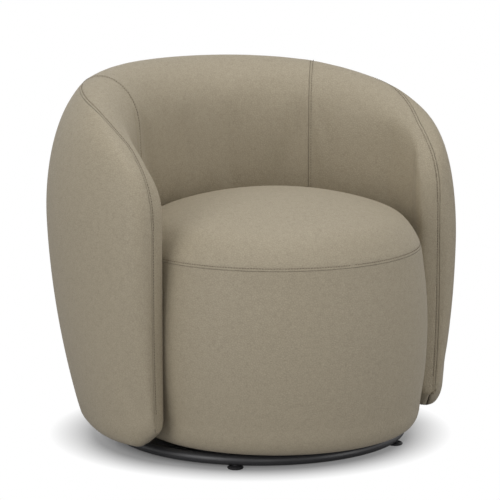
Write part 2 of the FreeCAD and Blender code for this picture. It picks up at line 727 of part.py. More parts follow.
# Foam of the shell between the cover and the wooden frame, in three sheets
hem_top_z = shell_bottom_z + cover_thickness
under_slab = box(-600, 600, -600, 600, 0, hem_top_z + cloth_thickness)
shell_foam = drilled(shell_middle.cut(shell_cavity).cut(under_slab))
save("shell_foam_back", shell_foam.common(wedge))
arm_foam = shell_foam.cut(wedge)
save("shell_foam_left", arm_piece(arm_foam, -1))
save("shell_foam_right", arm_piece(arm_foam, 1))

# Stiffening cloth under the foam, inside the turned-in hem of the cover
cloth_outline = shell_middle.slice(V(0, 0, 1), hem_top_z + cloth_thickness * 0.1)[0]
shell_cloth = Part.Face(cloth_outline).extrude(V(0, 0, cloth_thickness * 0.9))
save("shell_dust_cover", shell_cloth)

# Covers, parted along the crest seam and the two seams of the inside back
skin = shell_outer.cut(shell_middle)


def inside_block(radius, centre_y, turn_degrees, front_x):
    """Returns the tall block inside a parting wall, which follows an arc and then the two arms."""
    turn = math.radians(turn_degrees)
    wall_x = radius * math.sin(turn)
    wall_y = centre_y + radius * math.cos(turn)
    front_y = arm_front_y - 40.0
    wall_edges = [
        arc(V(-wall_x, wall_y, -50), V(0, centre_y + radius, -50), V(wall_x, wall_y, -50)),
        line(V(wall_x, wall_y, -50), V(front_x, front_y, -50)),
        line(V(front_x, front_y, -50), V(-front_x, front_y, -50)),
        line(V(-front_x, front_y, -50), V(-wall_x, wall_y, -50))]
    return Part.Face(Part.Wire(wall_edges)).extrude(V(0, 0, 900))


cover_block = inside_block(seam_wall_radius, shell_offset, seam_wall_angle, seam_front_x)
save("shell_outer_cover", skin.cut(cover_block))
inner_skin = drilled(skin.common(cover_block))
save("inside_back_cover", inner_skin.common(wedge))
arm_skins = inner_skin.cut(wedge)
save("arm_cover_left", arm_piece(arm_skins, -1))
save("arm_cover_right", arm_piece(arm_skins, 1))

# Thin boards bent round the frame, inside and outside
boarding = shell_frame.cut(shell_inner)
board_block = inside_block(board_wall_radius, board_wall_centre_y, 90.0, board_wall_front_x)
save("shell_outer_boarding", boarding.cut(board_block))
save("shell_inner_boarding", drilled(boarding.common(board_block)))


def level_board(z_low, thickness):
    """Returns a flat board that fills the frame's plan at one height."""
    return shell_inner.common(box(-600, 600, -600, 600, z_low, z_low + thickness))


# Wooden frame inside the boards: bottom board, rails, battens and ribs
frame_low_z = shell_bottom_z + board_inset
board_high_z = frame_low_z + frame_board
shell_board = level_board(frame_low_z - 1.0, frame_board + 1.0)
save("shell_bottom_board", shell_board)
middle_rail = level_board(middle_rail_z, frame_board)
save("shell_middle_rail", middle_rail)
upper_rail = level_board(upper_rail_z, frame_board)
save("shell_upper_rail", upper_rail)

battens = []
for angle in (-post_half_step, post_half_step):
    slab = box(-joint_batten_width / 2.0, joint_batten_width / 2.0, batten_low, batten_high,
               board_high_z, middle_rail_z)
    slab = moved(turned(slab, angle), 0, -drum_offset, 0)
    battens.append(drilled(shell_inner.common(slab)))
save("joint_battens", group(battens))

rods = joint_holes(joint_bolt_diameter / 2.0, bolt_head_outer, nut_high + 1.0)
heads = joint_holes(joint_bolt_head / 2.0, bolt_head_outer - 4.0, bolt_head_outer)
joint_bolts = [rod.fuse(head).removeSplitter() for rod, head in zip(rods, heads)]
save("joint_bolts", group(joint_bolts))
nut_blanks = joint_holes(joint_bolt_head / 2.0, nut_low, nut_high)
nuts = [nut.cut(group(joint_holes(joint_bolt_diameter / 2.0, 100.0, 500.0))) for nut in nut_blanks]
save("joint_nuts", group(nuts))


def rib(angle):
    """Returns the upright boards across the frame in one direction, between the rails."""
    slab = box(-rib_thickness / 2.0, rib_thickness / 2.0, 100, 600, board_high_z, 900)
    slab = moved(turned(slab, -angle), 0, shell_offset, 0)
    board = shell_inner.common(slab).cut(upper_rail).cut(middle_rail)
    return [piece for piece in board.Solids if piece.Volume > 2000.0]


back_ribs = []
for angle in back_rib_angles:
    back_ribs = back_ribs + rib(angle)
save("back_ribs", group(back_ribs))
arm_ribs = []
for angle in arm_rib_angles:
    arm_ribs = arm_ribs + rib(angle)
save("arm_ribs", group(arm_ribs))
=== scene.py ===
import logging
import math
from dataclasses import dataclass, field
from enum import Enum

import bpy
import numpy as np
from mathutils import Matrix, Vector


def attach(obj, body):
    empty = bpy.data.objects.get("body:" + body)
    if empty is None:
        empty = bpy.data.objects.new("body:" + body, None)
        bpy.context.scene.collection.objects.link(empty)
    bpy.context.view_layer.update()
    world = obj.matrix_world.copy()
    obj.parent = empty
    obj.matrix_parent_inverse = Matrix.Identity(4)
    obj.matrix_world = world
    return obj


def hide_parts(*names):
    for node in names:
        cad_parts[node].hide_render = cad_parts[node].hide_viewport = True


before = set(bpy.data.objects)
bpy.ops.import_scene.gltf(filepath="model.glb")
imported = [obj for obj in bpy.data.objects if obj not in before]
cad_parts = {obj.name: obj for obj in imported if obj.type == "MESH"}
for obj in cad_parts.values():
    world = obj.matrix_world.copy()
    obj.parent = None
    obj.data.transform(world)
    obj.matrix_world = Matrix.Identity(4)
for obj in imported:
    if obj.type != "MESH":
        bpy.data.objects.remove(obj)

# Swivel accent chair, dressed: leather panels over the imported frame, their
# stitching, the underside cloths, finishes for every carried node, a pale
# floor, soft light and the camera. Lengths are in metres, Z is up and the
# front of the chair looks along -Y.

Array = np.ndarray
Colour = tuple[int, int, int]
log = logging.getLogger("swivel_chair")

AXIS_Y = -0.0325
QUARTER = math.pi / 2.0
WHOLE = 2.0 * math.pi
TINY_LENGTH = 1e-9


class Facing(Enum):
    """Which side of a grid is its outside."""

    FRONT = 1
    BACK = -1


class Body(Enum):
    """The moving body that every new piece rides on."""

    CHAIR = "chair"


def smoothstep(share: Array) -> Array:
    """Three times the square less twice the cube of a share kept within 0 and 1."""
    share = np.clip(share, 0.0, 1.0)
    return share * share * (3.0 - 2.0 * share)


def unit(vectors: Array) -> Array:
    """Vectors divided by their lengths, with the shortest ones left nearly as they are."""
    return vectors / np.maximum(np.linalg.norm(vectors, axis=-1, keepdims=True), TINY_LENGTH)


def row_lengths(points: Array) -> Array:
    """Distance run from the first row to each row, down every column of a grid.

    Args:
        points: grid of shape (rows, columns, 3).

    Returns:
        Array of shape (rows, columns), the running sum of the steps between rows.
    """
    steps = np.linalg.norm(np.diff(points, axis=0), axis=-1)
    return np.concatenate([np.zeros((1, points.shape[1])), np.cumsum(steps, axis=0)])


def respaced(points: Array, targets: Array) -> Array:
    """Points at wanted distances down each column of a dense grid.

    Each target falls between two dense rows, and the point is their mean
    weighted by how far along the step it lies.

    Args:
        points: dense grid of shape (dense, columns, 3).
        targets: distances of shape (rows, columns).

    Returns:
        Grid of shape (rows, columns, 3).
    """
    run = row_lengths(points)
    targets = np.clip(targets, 0.0, run[-1] * (1.0 - 1e-9))
    low = (run[None, :, :] <= targets[:, None, :]).sum(axis=1) - 1
    low = np.clip(low, 0, len(points) - 2)
    columns = np.arange(points.shape[1])[None, :]
    start, end = run[low, columns], run[low + 1, columns]
    share = ((targets - start) / np.maximum(end - start, 1e-12))[..., None]
    return points[low, columns] * (1.0 - share) + points[low + 1, columns] * share


def grid_normals(points: Array, facing: Facing, closed: bool) -> Array:
    """Unit normals of a grid: the cross product of its steps along rows and columns.

    Args:
        points: grid of shape (rows, columns, 3).
        facing: which way round the cross product is taken.
        closed: whether the last column is followed by the first.

    Returns:
        Array of the grid's shape.
    """
    if closed:
        across = np.roll(points, -1, axis=1) - np.roll(points, 1, axis=1)
    else:
        across = np.gradient(points, axis=1)
    down = np.gradient(points, axis=0)
    return unit(np.cross(across, down) * facing.value)


def circle_arc(start: tuple[float, float], middle: tuple[float, float], end: tuple[float, float],
               count: int) -> Array:
    """Points on the circle through three points, evenly turned about its centre.

    Args:
        start: first point.
        middle: a point on the way.
        end: last point.
        count: number of points.

    Returns:
        Array of shape (count, 2).
    """
    a, b, c = (np.array(point, float) for point in (start, middle, end))
    matrix = 2.0 * np.array([b - a, c - a])
    centre = np.linalg.solve(matrix, np.array([b @ b - a @ a, c @ c - a @ a]))
    angles = [math.atan2(*(point - centre)[::-1]) for point in (a, b, c)]
    turn = (angles[2] - angles[0]) % WHOLE
    if (angles[1] - angles[0]) % WHOLE > turn:
        turn -= WHOLE
    lean = angles[0] + turn * np.linspace(0.0, 1.0, count)
    radius = np.linalg.norm(a - centre)
    return centre + radius * np.stack([np.cos(lean), np.sin(lean)], axis=-1)


def hat_weights(wanted: Array, known: Array) -> Array:
    """Matrix that fills in values at wanted places by straight lines between known ones."""
    return np.stack([np.interp(wanted, known, row) for row in np.eye(len(known))], axis=-1)


@dataclass(frozen=True)
class Grid:
    """A surface made of rows and columns of points.

    The first row lies along the panel's main seam.
    """

    points: Array
    facing: Facing
    closed: bool = False
    pole: bool = False

    def normals(self) -> Array:
        """Outward normals at every point."""
        return grid_normals(self.points, self.facing, self.closed)

    def with_points(self, points: Array) -> "Grid":
        """The same layout with other points."""
        return Grid(points, self.facing, self.closed, self.pole)

    def faces(self) -> list[list[int]]:
        """Quads between neighbouring rows and columns, and a fan at a pole.

        Returns:
            Vertex numbers of each face.
        """
        rows, columns = self.points.shape[:2]
        index = np.arange(rows * columns).reshape(rows, columns)
        if self.closed:
            index = np.concatenate([index, index[:, :1]], axis=1)
        last = rows - 1 if self.pole else rows
        low, high = index[: last - 1], index[1:last]
        corners = [low[:, :-1], low[:, 1:], high[:, 1:], high[:, :-1]]
        quads = np.stack(corners, axis=-1).reshape(-1, 4)
        if self.facing is Facing.BACK:
            quads = quads[:, ::-1]
        found = quads.tolist()
        if self.pole:
            tip = np.full(index.shape[1] - 1, index[last - 1, 0] + columns)
            fan = np.stack([index[last - 1, :-1], index[last - 1, 1:], tip], axis=-1)
            fan = fan[:, ::-1] if self.facing is Facing.BACK else fan
            found += fan.tolist()
        return found

    def mesh(self, name: str) -> bpy.types.Object:
        """A linked mesh object of the grid.

        Args:
            name: name of the object and of its mesh.

        Returns:
            The new object, shaded smooth.
        """
        points = self.points.reshape(-1, 3)
        if self.pole:
            points = points[: (len(self.points) - 1) * self.points.shape[1] + 1]
        return mesh_piece(name, points, self.faces())


def mesh_piece(name: str, points: Array, faces: list[list[int]]) -> bpy.types.Object:
    """A linked, smoothly shaded mesh object.

    Args:
        name: name of the object and of its mesh.
        points: vertices, one row each.
        faces: vertex numbers of each face.

    Returns:
        The new object.
    """
    mesh = bpy.data.meshes.new(name)
    mesh.from_pydata(points.tolist(), [], faces)
    mesh.polygons.foreach_set("use_smooth", np.ones(len(mesh.polygons), bool))
    mesh.update()
    piece = bpy.data.objects.new(name, mesh)
    bpy.context.scene.collection.objects.link(piece)
    return piece


@dataclass(frozen=True)
class SeamShape:
    """How a leather panel rolls under where it is sewn to the next one, and the shade painted along the
    seam.
    """

    edge_radius: float = 0.0013
    stitch_place: float = 0.0050
    channel_depth: float = 0.0007
    channel_width: float = 0.0009
    # Width and channel share of the shade painted along the seam.
    painted_shade_width: float = 0.0014
    channel_painted_shade: float = 0.55
    steps: tuple[float, ...] = (0.0, 0.0004, 0.0008, 0.0014, 0.0040, 0.0050, 0.0060)
    even_start: float = 2.2

    def roll(self, distance: Array) -> Array:
        """Depth of the rolled edge: a quarter circle that ends one radius from the seam."""
        near = np.clip(1.0 - distance / self.edge_radius, 0.0, 1.0)
        return self.edge_radius * (1.0 - np.sqrt(1.0 - near * near))

    def channel(self, distance: Array) -> Array:
        """Share of the stitched channel: a bell curve across the topstitching's line."""
        return np.exp(-(((distance - self.stitch_place) / self.channel_width) ** 2))

    def shade(self, distance: Array, stitched: bool) -> Array:
        """Painted shade in the leather's colour: full in the seam, about half in the stitched channel.

        Args:
            distance: distance of each point from the nearest seam.
            stitched: whether the panel carries the topstitching.

        Returns:
            Shares from 0 to 1, two bell curves added.
        """
        seam = np.exp(-((distance / self.painted_shade_width) ** 2))
        stitching = self.channel_painted_shade * self.channel(distance) if stitched else 0.0
        return np.clip(seam + stitching, 0.0, 1.0)

    def row_targets(self, total: Array, rows: int) -> Array:
        """Wanted distances from the seam down each column: close at the seam, then even.

        Args:
            total: length of each column.
            rows: number of even rows after the close ones.

        Returns:
            Array of shape (close rows + even rows, columns).
        """
        close = np.array(self.steps)[:, None] * np.ones_like(total)[None, :]
        start = self.steps[-1] * self.even_start
        even = start + (total[None, :] - start) * np.linspace(0.0, 1.0, rows)[:, None]
        return np.concatenate([close, even])


@dataclass(frozen=True)
class ClothSwell:
    """Air pressure that puffs a panel between its pinned seams, as stuffing does."""

    pressure: float = 5.0
    frames: int = 20
    cap: float = 0.0035
    start_inset: float = 0.0008
    quick_share: float = 0.85
    quality: int = 6
    mass: float = 0.4
    stretch_stiffness: float = 20.0
    shear_stiffness: float = 12.0
    bending_stiffness: float = 6.0
    air_damping: float = 6.0

    def swell(self, grid: Grid, pinned: Array) -> Array:
        """Movement of each point along its normal once the panel has swollen.

        Cloth simulation with pressure and no gravity moves the free points. The
        movement along the normal is then kept under a cap by a hyperbolic tangent.

        Args:
            grid: panel to swell.
            pinned: True where a point may not move, one value for each point.

        Returns:
            Array of shape (rows, columns).
        """
        shape = grid.points.shape[:2]
        piece = grid.mesh("swell_trial")
        count = len(piece.data.vertices)
        held = piece.vertex_groups.new(name="held")
        held.add(np.flatnonzero(pinned.reshape(-1)[:count]).tolist(), 1.0, "REPLACE")
        cloth = piece.modifiers.new("swell", "CLOTH")
        settings = cloth.settings
        settings.quality = self.quality
        settings.mass = self.mass
        settings.tension_stiffness = self.stretch_stiffness
        settings.compression_stiffness = self.stretch_stiffness
        settings.shear_stiffness = self.shear_stiffness
        settings.bending_stiffness = self.bending_stiffness
        settings.air_damping = self.air_damping
        settings.vertex_group_mass = "held"
        settings.use_pressure = True
        settings.uniform_pressure_force = self.pressure
        settings.effector_weights.gravity = 0.0
        cloth.point_cache.frame_start = 1
        cloth.point_cache.frame_end = self.frames
        scene = bpy.context.scene
        for step in range(1, self.frames + 1):
            scene.frame_set(step)
        evaluated = piece.evaluated_get(bpy.context.evaluated_depsgraph_get())
        moved = np.empty(len(evaluated.data.vertices) * 3)
        evaluated.data.vertices.foreach_get("co", moved)
        start = np.empty(count * 3)
        piece.data.vertices.foreach_get("co", start)
        scene.frame_set(1)
        mesh = piece.data
        bpy.data.objects.remove(piece)
        bpy.data.meshes.remove(mesh)
        steps = np.zeros((shape[0] * shape[1], 3))
        steps[:count] = (moved - start).reshape(-1, 3)
        if grid.pole:
            steps[count:] = steps[count - 1]
        out = (steps.reshape(*shape, 3) * grid.normals()).sum(axis=-1)
        log.info("swelling reached %.1f mm before the cap", out.max() * 1000.0)
        return self.cap * np.tanh(out / self.cap)


@dataclass(frozen=True)
class PanelMaker:
    """Turns a plain grid into a puffed leather panel with rolled edges."""

    seam: SeamShape = SeamShape()
    swell: ClothSwell = ClothSwell()
    leather_thickness: float = 0.0030
    inset_reach: float = 0.03
    pinned_reach: float = 0.004
    rise_reach: float = 0.02

    def shaped(self, grid: Grid, seam_distance: Array, still: Array, keep_rows: Array,
               keep_columns: Array, stitched: bool) -> Grid:
        """The panel after swelling and rolling its edges.

        The swelling is worked out on the evenly spaced rows and columns alone, and
        straight lines between them fill in the closely spaced ones along the seams.

        Args:
            grid: panel on its plain form.
            seam_distance: distance of each point from the nearest seam.
            still: True where a point keeps its place, as behind the seat.
            keep_rows: numbers of the rows that are simulated.
            keep_columns: numbers of the columns that are simulated.
            stitched: whether the panel carries the topstitching and its channel.

        Returns:
            The shaped grid.
        """
        normals = grid.normals()
        inset = self.swell.start_inset * smoothstep(seam_distance / self.inset_reach)
        inset = np.where(still, 0.0, inset)
        start = grid.points - normals * inset[..., None]
        coarse = grid.with_points(start[np.ix_(keep_rows, keep_columns)])
        pinned = (still | (seam_distance < self.pinned_reach))[np.ix_(keep_rows, keep_columns)]
        rise = self.swell.swell(coarse, pinned)
        rows = hat_weights(np.arange(len(grid.points)), keep_rows)
        columns = hat_weights(np.arange(grid.points.shape[1]), keep_columns)
        rise = rows @ rise @ columns.T * smoothstep(seam_distance / self.rise_reach)
        depth = self.seam.roll(seam_distance)
        if stitched:
            depth = depth + self.seam.channel_depth * self.seam.channel(seam_distance)
        return grid.with_points(start + normals * (rise - depth)[..., None])

    def panel(self, name: str, grid: Grid, seam_distance: Array, stitched: bool) -> bpy.types.Object:
        """The finished object: its painted seam shade, one subdivision and the leather's thickness.

        Args:
            name: name of the piece.
            grid: shaped grid.
            seam_distance: distance of each point from the nearest seam.
            stitched: whether the panel carries the topstitching.

        Returns:
            The new object with its modifiers.
        """
        piece = grid.mesh(name)
        # Painted shade for the leather's colour: full in the seam, about half in the stitched channel.
        shade = piece.data.attributes.new("painted_seam_shade", "FLOAT", "POINT")
        values = self.seam.shade(seam_distance, stitched).reshape(-1)
        shade.data.foreach_set("value", values[: len(piece.data.vertices)].astype(np.float32))
        smooth = piece.modifiers.new("smooth", "SUBSURF")
        smooth.levels = 1
        smooth.render_levels = 1
        wall = piece.modifiers.new("leather", "SOLIDIFY")
        wall.thickness = self.leather_thickness
        wall.offset = -1.0
        return piece


@dataclass(frozen=True)
class Section:
    """Sizes of the shell's upright outline, one value for each grid point."""

    turn: Array
    side: Array
    advance: Array
    ahead: Array
    low_in: Array
    high_in: Array
    out: Array
    apex: Array
    top: Array
    low: Array
    wide: Array
    inner_start: Array
    neck_high: Array
    neck_low: Array
    corner: Array
    bottom_out: Array
    half_out: Array
    small: Array
    flat: Array
    face_rise: float = 0.0030
    hem_share: float = 0.4

    def rim(self, share: Array) -> tuple[Array, Array]:
        """Reach and height on the rim, two quarter ellipses that meet at the apex.

        Args:
            share: 0 at the widest height outside, 1 at the apex, 2 where the inner face starts.

        Returns:
            Reach from the shell's centre and height.
        """
        first = np.clip(share, 0.0, 1.0) * QUARTER
        second = np.clip(share - 1.0, 0.0, 1.0) * QUARTER
        outer_r = self.apex + (self.out - self.apex) * np.cos(first)
        outer_z = self.wide + (self.top - self.wide) * np.sin(first)
        inner_r = self.apex - (self.apex - self.high_in) * np.sin(second)
        inner_z = self.inner_start + (self.top - self.inner_start) * np.cos(second)
        return np.where(share <= 1.0, outer_r, inner_r), np.where(share <= 1.0, outer_z, inner_z)

    def hem_width(self, hem: float) -> Array:
        """The wanted width of a hem, or its share of the room under the shell if that is less."""
        return np.minimum(hem, self.hem_share * (self.bottom_out - self.flat - self.low_in - self.small))

    def outside(self, way: Array, seam_share: Array, hem: float) -> tuple[Array, Array]:
        """Reach and height on the outer profile, from the crest seam down to the hem.

        The way runs 0 to 1 down the rim, to 2 down the curved side, to 3 round the
        bottom corner and to 4 in along the hem. The side is the parabola through
        three points and the corner is a quarter ellipse.

        Args:
            way: place on the profile, 0 to 4.
            seam_share: place of the crest seam on the rim.
            hem: wanted width of the hem.

        Returns:
            Reach from the shell's centre and height.
        """
        down = [np.clip(way - stage, 0.0, 1.0) for stage in range(4)]
        rim_r, rim_z = self.rim(seam_share * (1.0 - down[0]))
        b = down[1]
        first, middle, last = (1.0 - b) * (1.0 - 2.0 * b), 4.0 * b * (1.0 - b), b * (2.0 * b - 1.0)
        half_z = (self.low + self.corner + self.wide) / 2.0
        side_r = self.out * first + self.half_out * middle + self.bottom_out * last
        side_z = self.wide * first + half_z * middle + (self.low + self.corner) * last
        lean = down[2] * QUARTER
        corner_r = self.bottom_out - self.flat * (1.0 - np.cos(lean))
        corner_z = self.low + self.corner * (1.0 - np.sin(lean))
        hem_r = self.bottom_out - self.flat - self.hem_width(hem) * down[3]
        stage = [way <= 1.0, way <= 2.0, way <= 3.0]
        return (np.select(stage, [rim_r, side_r, corner_r], hem_r),
                np.select(stage, [rim_z, side_z, corner_z], self.low + 0.0 * hem_r))

    def inside(self, way: Array, seam_share: Array, hem: float) -> tuple[Array, Array]:
        """Reach and height on the inner profile, from the crest seam down to the hem.

        The way runs 0 to 1 down the rim, to 2 down the inner face, to 3 down the
        slope behind the seat, to 4 down the straight side, to 5 round the corner
        and to 6 out along the hem.

        Args:
            way: place on the profile, 0 to 6.
            seam_share: place of the crest seam on the rim.
            hem: wanted width of the hem.

        Returns:
            Reach from the shell's centre and height.
        """
        down = [np.clip(way - stage, 0.0, 1.0) for stage in range(6)]
        rim_r, rim_z = self.rim(seam_share + (2.0 - seam_share) * down[0])
        b = down[1]
        face_r = self.high_in - self.face_rise * 4.0 * b * (1.0 - b)
        face_z = self.inner_start + (self.neck_high - self.inner_start) * b
        slope_r = self.high_in + (self.low_in - self.high_in) * smoothstep(down[2])
        slope_z = self.neck_high + (self.neck_low - self.neck_high) * down[2]
        small = self.small
        side_z = self.neck_low + (self.low + small - self.neck_low) * down[3]
        lean = down[4] * QUARTER
        corner_r = self.low_in + small * (1.0 - np.cos(lean))
        corner_z = self.low + small * (1.0 - np.sin(lean))
        hem_r = self.low_in + small + self.hem_width(hem) * down[5]
        stage = [way <= 1.0, way <= 2.0, way <= 3.0, way <= 4.0, way <= 5.0]
        side_r = self.low_in + 0.0 * side_z
        return (np.select(stage, [rim_r, face_r, slope_r, side_r, corner_r], hem_r),
                np.select(stage, [rim_z, face_z, slope_z, side_z, corner_z], self.low + 0.0 * hem_r))


@dataclass(frozen=True)
class ShellForm:
    """The C-shaped back and arm form, as upright outlines that turn about a centre."""

    centre_y: float = 0.018
    drum_y: float = -0.059
    radius: float = 0.392
    bottom_z: float = 0.037
    wide_z: float = 0.437
    wide_drop: float = 0.170
    top_z: float = 0.697
    arm_top_z: float = 0.440
    bottom_inset: float = 0.058
    nose_turn: float = math.radians(111.0)
    nose_radius: float = 0.041
    nose_middle: float = 0.350
    bottom_corner: float = 0.018
    nose_bottom_corner: float = 0.044
    nose_bottom_rise: float = 0.032
    nose_lean: float = 0.007
    inner_square: float = 5.0
    outer_square: float = 2.7
    rise_power: float = 1.2
    nose_bulge: float = 0.38
    corner_width: float = 0.62
    nose_corner_width: float = 0.60
    inner_corner: float = 0.015
    nose_inner_corner: float = 0.020
    inside_radius: float = 0.271
    drum_radius: float = 0.2868
    inside_bulge: float = 0.010
    seat_seam_z: float = 0.376
    rim_apex_share: float = 0.44
    nose_apex_share: float = 0.53
    inner_drop_share: float = 0.14
    nose_inner_drop_share: float = 0.02
    fall_power: float = 1.64
    fall_root: float = 0.38
    seam_radius: float = 0.327
    seam_turn: float = math.radians(105.0)
    back_seam_turn: float = math.radians(34.8)
    back_seam_y: float = -0.144
    back_seam_guess: float = math.radians(51.0)
    blend_start: float = 0.66
    back_share: float = 0.85
    neck_high_rise: float = 0.036
    neck_low_rise: float = 0.006
    face_least: float = 0.022
    neck_least: float = 0.030
    hem_least: float = 0.002
    half_inset_share: float = 0.30

    @property
    def front_y(self) -> float:
        """How far forward the fronts of the arms reach."""
        return (self.centre_y + self.nose_middle * math.cos(self.nose_turn)
                - self.nose_radius * math.sin(self.nose_turn))

    @property
    def front_x(self) -> float:
        """How far from the middle the foremost line of an arm stands."""
        return self.nose_middle * math.sin(self.nose_turn) + self.nose_radius * math.cos(self.nose_turn)

    def rim_height(self, y: Array) -> Array:
        """Height of the rim: it falls along the arms as a superellipse towards their fronts.

        Args:
            y: place along the chair, before the shift to the shared frame.

        Returns:
            Heights above the floor.
        """
        back_y = self.centre_y + self.radius * self.back_share
        share = np.clip((y - self.front_y) / (back_y - self.front_y), 0.0, 1.0)
        fall = np.maximum(1.0 - (1.0 - share) ** self.fall_power, 0.0) ** self.fall_root
        return self.arm_top_z + (self.top_z - self.arm_top_z) * fall

    def reach_to_drum(self, turn: Array, radius: float, advance: Array | float = 0.0) -> Array:
        """Reach from the shell's centre to a circle about the seat drum.

        Args:
            turn: angle of the direction from the back.
            radius: radius of the circle.
            advance: how far the line of that direction is moved towards the front.

        Returns:
            The reach, by the rule for where a line crosses a circle.
        """
        gap = self.centre_y - self.drum_y
        return -gap * np.cos(turn) + np.sqrt(radius ** 2 - (gap * np.sin(turn) - advance) ** 2)

    def section(self, turn: Array, side: Array, advance: Array) -> Section:
        """Outline sizes at any direction and advance round the front of an arm.

        Args:
            turn: angle from the back, without its sign.
            side: -1 on the left and 1 on the right.
            advance: distance past the last direction, up to the nose radius.

        Returns:
            The outline's sizes with the arrays' shape.
        """
        start = self.nose_turn * self.blend_start
        blend = smoothstep((turn - start) / (self.nose_turn - start))
        nose_in = self.nose_middle - self.nose_radius
        nose_out = self.nose_middle + self.nose_radius
        at_nose = self.reach_to_drum(np.array(self.nose_turn), self.drum_radius)
        low_in = self.reach_to_drum(turn, self.drum_radius) + blend * (nose_in - at_nose)
        high_in = self.reach_to_drum(turn, self.inside_radius) - self.inside_bulge * (1.0 - blend)
        high_in = high_in * (1.0 - blend) + low_in * blend
        out = self.radius + blend * (nose_out - self.radius)
        bulge = 1.0 + blend * (self.nose_bulge - 1.0)
        ahead = np.clip(advance / self.nose_radius, 0.0, 1.0)
        middle_y = (self.centre_y + 0.5 * (low_in + out) * np.cos(turn)
                    - advance * math.sin(self.nose_turn))
        top = self.rim_height(middle_y)
        low = self.bottom_z + self.nose_bottom_rise * ahead ** self.rise_power
        drop_share = self.inner_drop_share + blend * (self.nose_inner_drop_share - self.inner_drop_share)
        inner_start = top - drop_share * (top - low)
        neck_high = np.minimum(self.seat_seam_z + self.neck_high_rise, inner_start - self.face_least)
        neck_low = np.minimum(self.seat_seam_z + self.neck_low_rise, neck_high - self.neck_least)
        corner = self.bottom_corner + blend * (self.nose_bottom_corner - self.bottom_corner)
        bottom_out = out - self.bottom_inset * bulge
        inner_corner = self.inner_corner + blend * (self.nose_inner_corner - self.inner_corner)
        small = np.minimum(corner * 0.5, inner_corner)
        width_share = self.corner_width + blend * (self.nose_corner_width - self.corner_width)
        flat = np.minimum(corner * width_share, bottom_out - low_in - small - self.hem_least)
        apex_share = self.rim_apex_share + blend * (self.nose_apex_share - self.rim_apex_share)
        return Section(turn, side, advance, ahead, low_in, high_in, out,
                       high_in + apex_share * (out - high_in), top, low,
                       np.minimum(self.wide_z, top - self.wide_drop), inner_start, neck_high, neck_low,
                       corner, bottom_out, out - self.half_inset_share * self.bottom_inset * bulge,
                       small, flat)

    def seam_share(self, section: Section) -> Array:
        """Place of the crest seam on the rim of each outline.

        The seam keeps one reach round the back and then runs straight to the
        foremost line of the arm. The share is the inverse of the rim's ellipses.

        Args:
            section: sizes of the outlines.

        Returns:
            Shares as the rim takes them, 0 to 2.
        """
        start_x = self.seam_radius * math.sin(self.seam_turn)
        start_y = self.centre_y + self.seam_radius * math.cos(self.seam_turn)
        slope = (self.front_x - start_x) / (self.front_y - start_y)
        turn, advance = section.turn, section.advance
        nose_sin, nose_cos = math.sin(self.nose_turn), math.cos(self.nose_turn)
        across = start_x + slope * (self.centre_y - advance * nose_sin - start_y) - advance * nose_cos
        straight = across / np.maximum(np.sin(turn) - slope * np.cos(turn), 0.2)
        reach = np.where(turn <= self.seam_turn, self.seam_radius, straight)
        inner_scale, outer_scale = self.nose_scales(section, self.nose_middle)
        scale = np.maximum(np.where(reach < self.nose_middle, inner_scale, outer_scale), 0.02)
        reach = np.where(advance > 0.0, self.nose_middle + (reach - self.nose_middle) / scale, reach)
        outer = np.clip((reach - section.apex) / (section.out - section.apex), 0.0, 1.0)
        inner = np.clip((section.apex - reach) / (section.apex - section.high_in), 0.0, 1.0)
        return np.where(reach >= section.apex, np.arccos(outer) / QUARTER,
                        1.0 + np.arcsin(inner) / QUARTER)

    def nose_scales(self, section: Section, fold: Array | float) -> tuple[Array, Array]:
        """How much the inner and outer halves of an outline narrow round the front of an arm.

        Both follow superellipses, and the inner one never comes nearer than the seat drum.

        Args:
            section: sizes of the outlines.
            fold: reach of the line that the two halves narrow to.

        Returns:
            Shares of the inner and of the outer half width.
        """
        inner_width = (1.0 - section.ahead ** self.inner_square) ** (1.0 / self.inner_square)
        outer_width = (1.0 - section.ahead ** self.outer_square) ** (1.0 / self.outer_square)
        limit = self.reach_to_drum(section.turn, self.drum_radius, section.advance)
        inner_end = np.maximum(fold - (fold - section.low_in) * inner_width, limit)
        return (fold - inner_end) / (self.nose_middle - section.low_in), outer_width

    def place(self, section: Section, reach: Array, height: Array) -> Array:
        """Points of the shared frame for reaches and heights of an outline.

        Args:
            section: sizes of the outlines.
            reach: reaches from the shell's centre, before the front of an arm narrows them.
            height: heights above the floor.

        Returns:
            Points, three numbers each.
        """
        fall = np.clip((section.wide - height) / (section.wide - section.low), 0.0, None)
        fold = self.nose_middle - self.nose_lean * (section.ahead * fall) ** 2
        inner_scale, outer_scale = self.nose_scales(section, fold)
        inner = fold - (self.nose_middle - reach) * inner_scale
        outer = fold + (reach - self.nose_middle) * outer_scale
        reach = np.where(section.advance > 0.0, np.where(reach < self.nose_middle, inner, outer), reach)
        x = reach * np.sin(section.turn) + section.advance * math.cos(self.nose_turn)
        y = (self.centre_y + AXIS_Y + reach * np.cos(section.turn)
             - section.advance * math.sin(self.nose_turn))
        return np.stack(np.broadcast_arrays(section.side * x, y, height), axis=-1)

    def back_seam_turns(self, way: Array, hem: float) -> Array:
        """Direction of the inside-back seam at each place down the inner profile.

        The seam lies in an upright plane, and the direction follows from the reach
        by the law of sines, found by repeating it a few times.

        Args:
            way: place on the inner profile, 0 to 6.
            hem: wanted width of the hem.

        Returns:
            Angles from the back.
        """
        offset = (self.centre_y - self.back_seam_y) * math.sin(self.back_seam_turn)
        turn = np.full_like(way, self.back_seam_guess)
        for _ in range(8):
            section = self.section(turn, np.ones_like(turn), np.zeros_like(turn))
            reach = section.inside(way, self.seam_share(section), hem)[0]
            turn = self.back_seam_turn + np.arcsin(np.clip(offset / reach, -1.0, 1.0))
        return turn


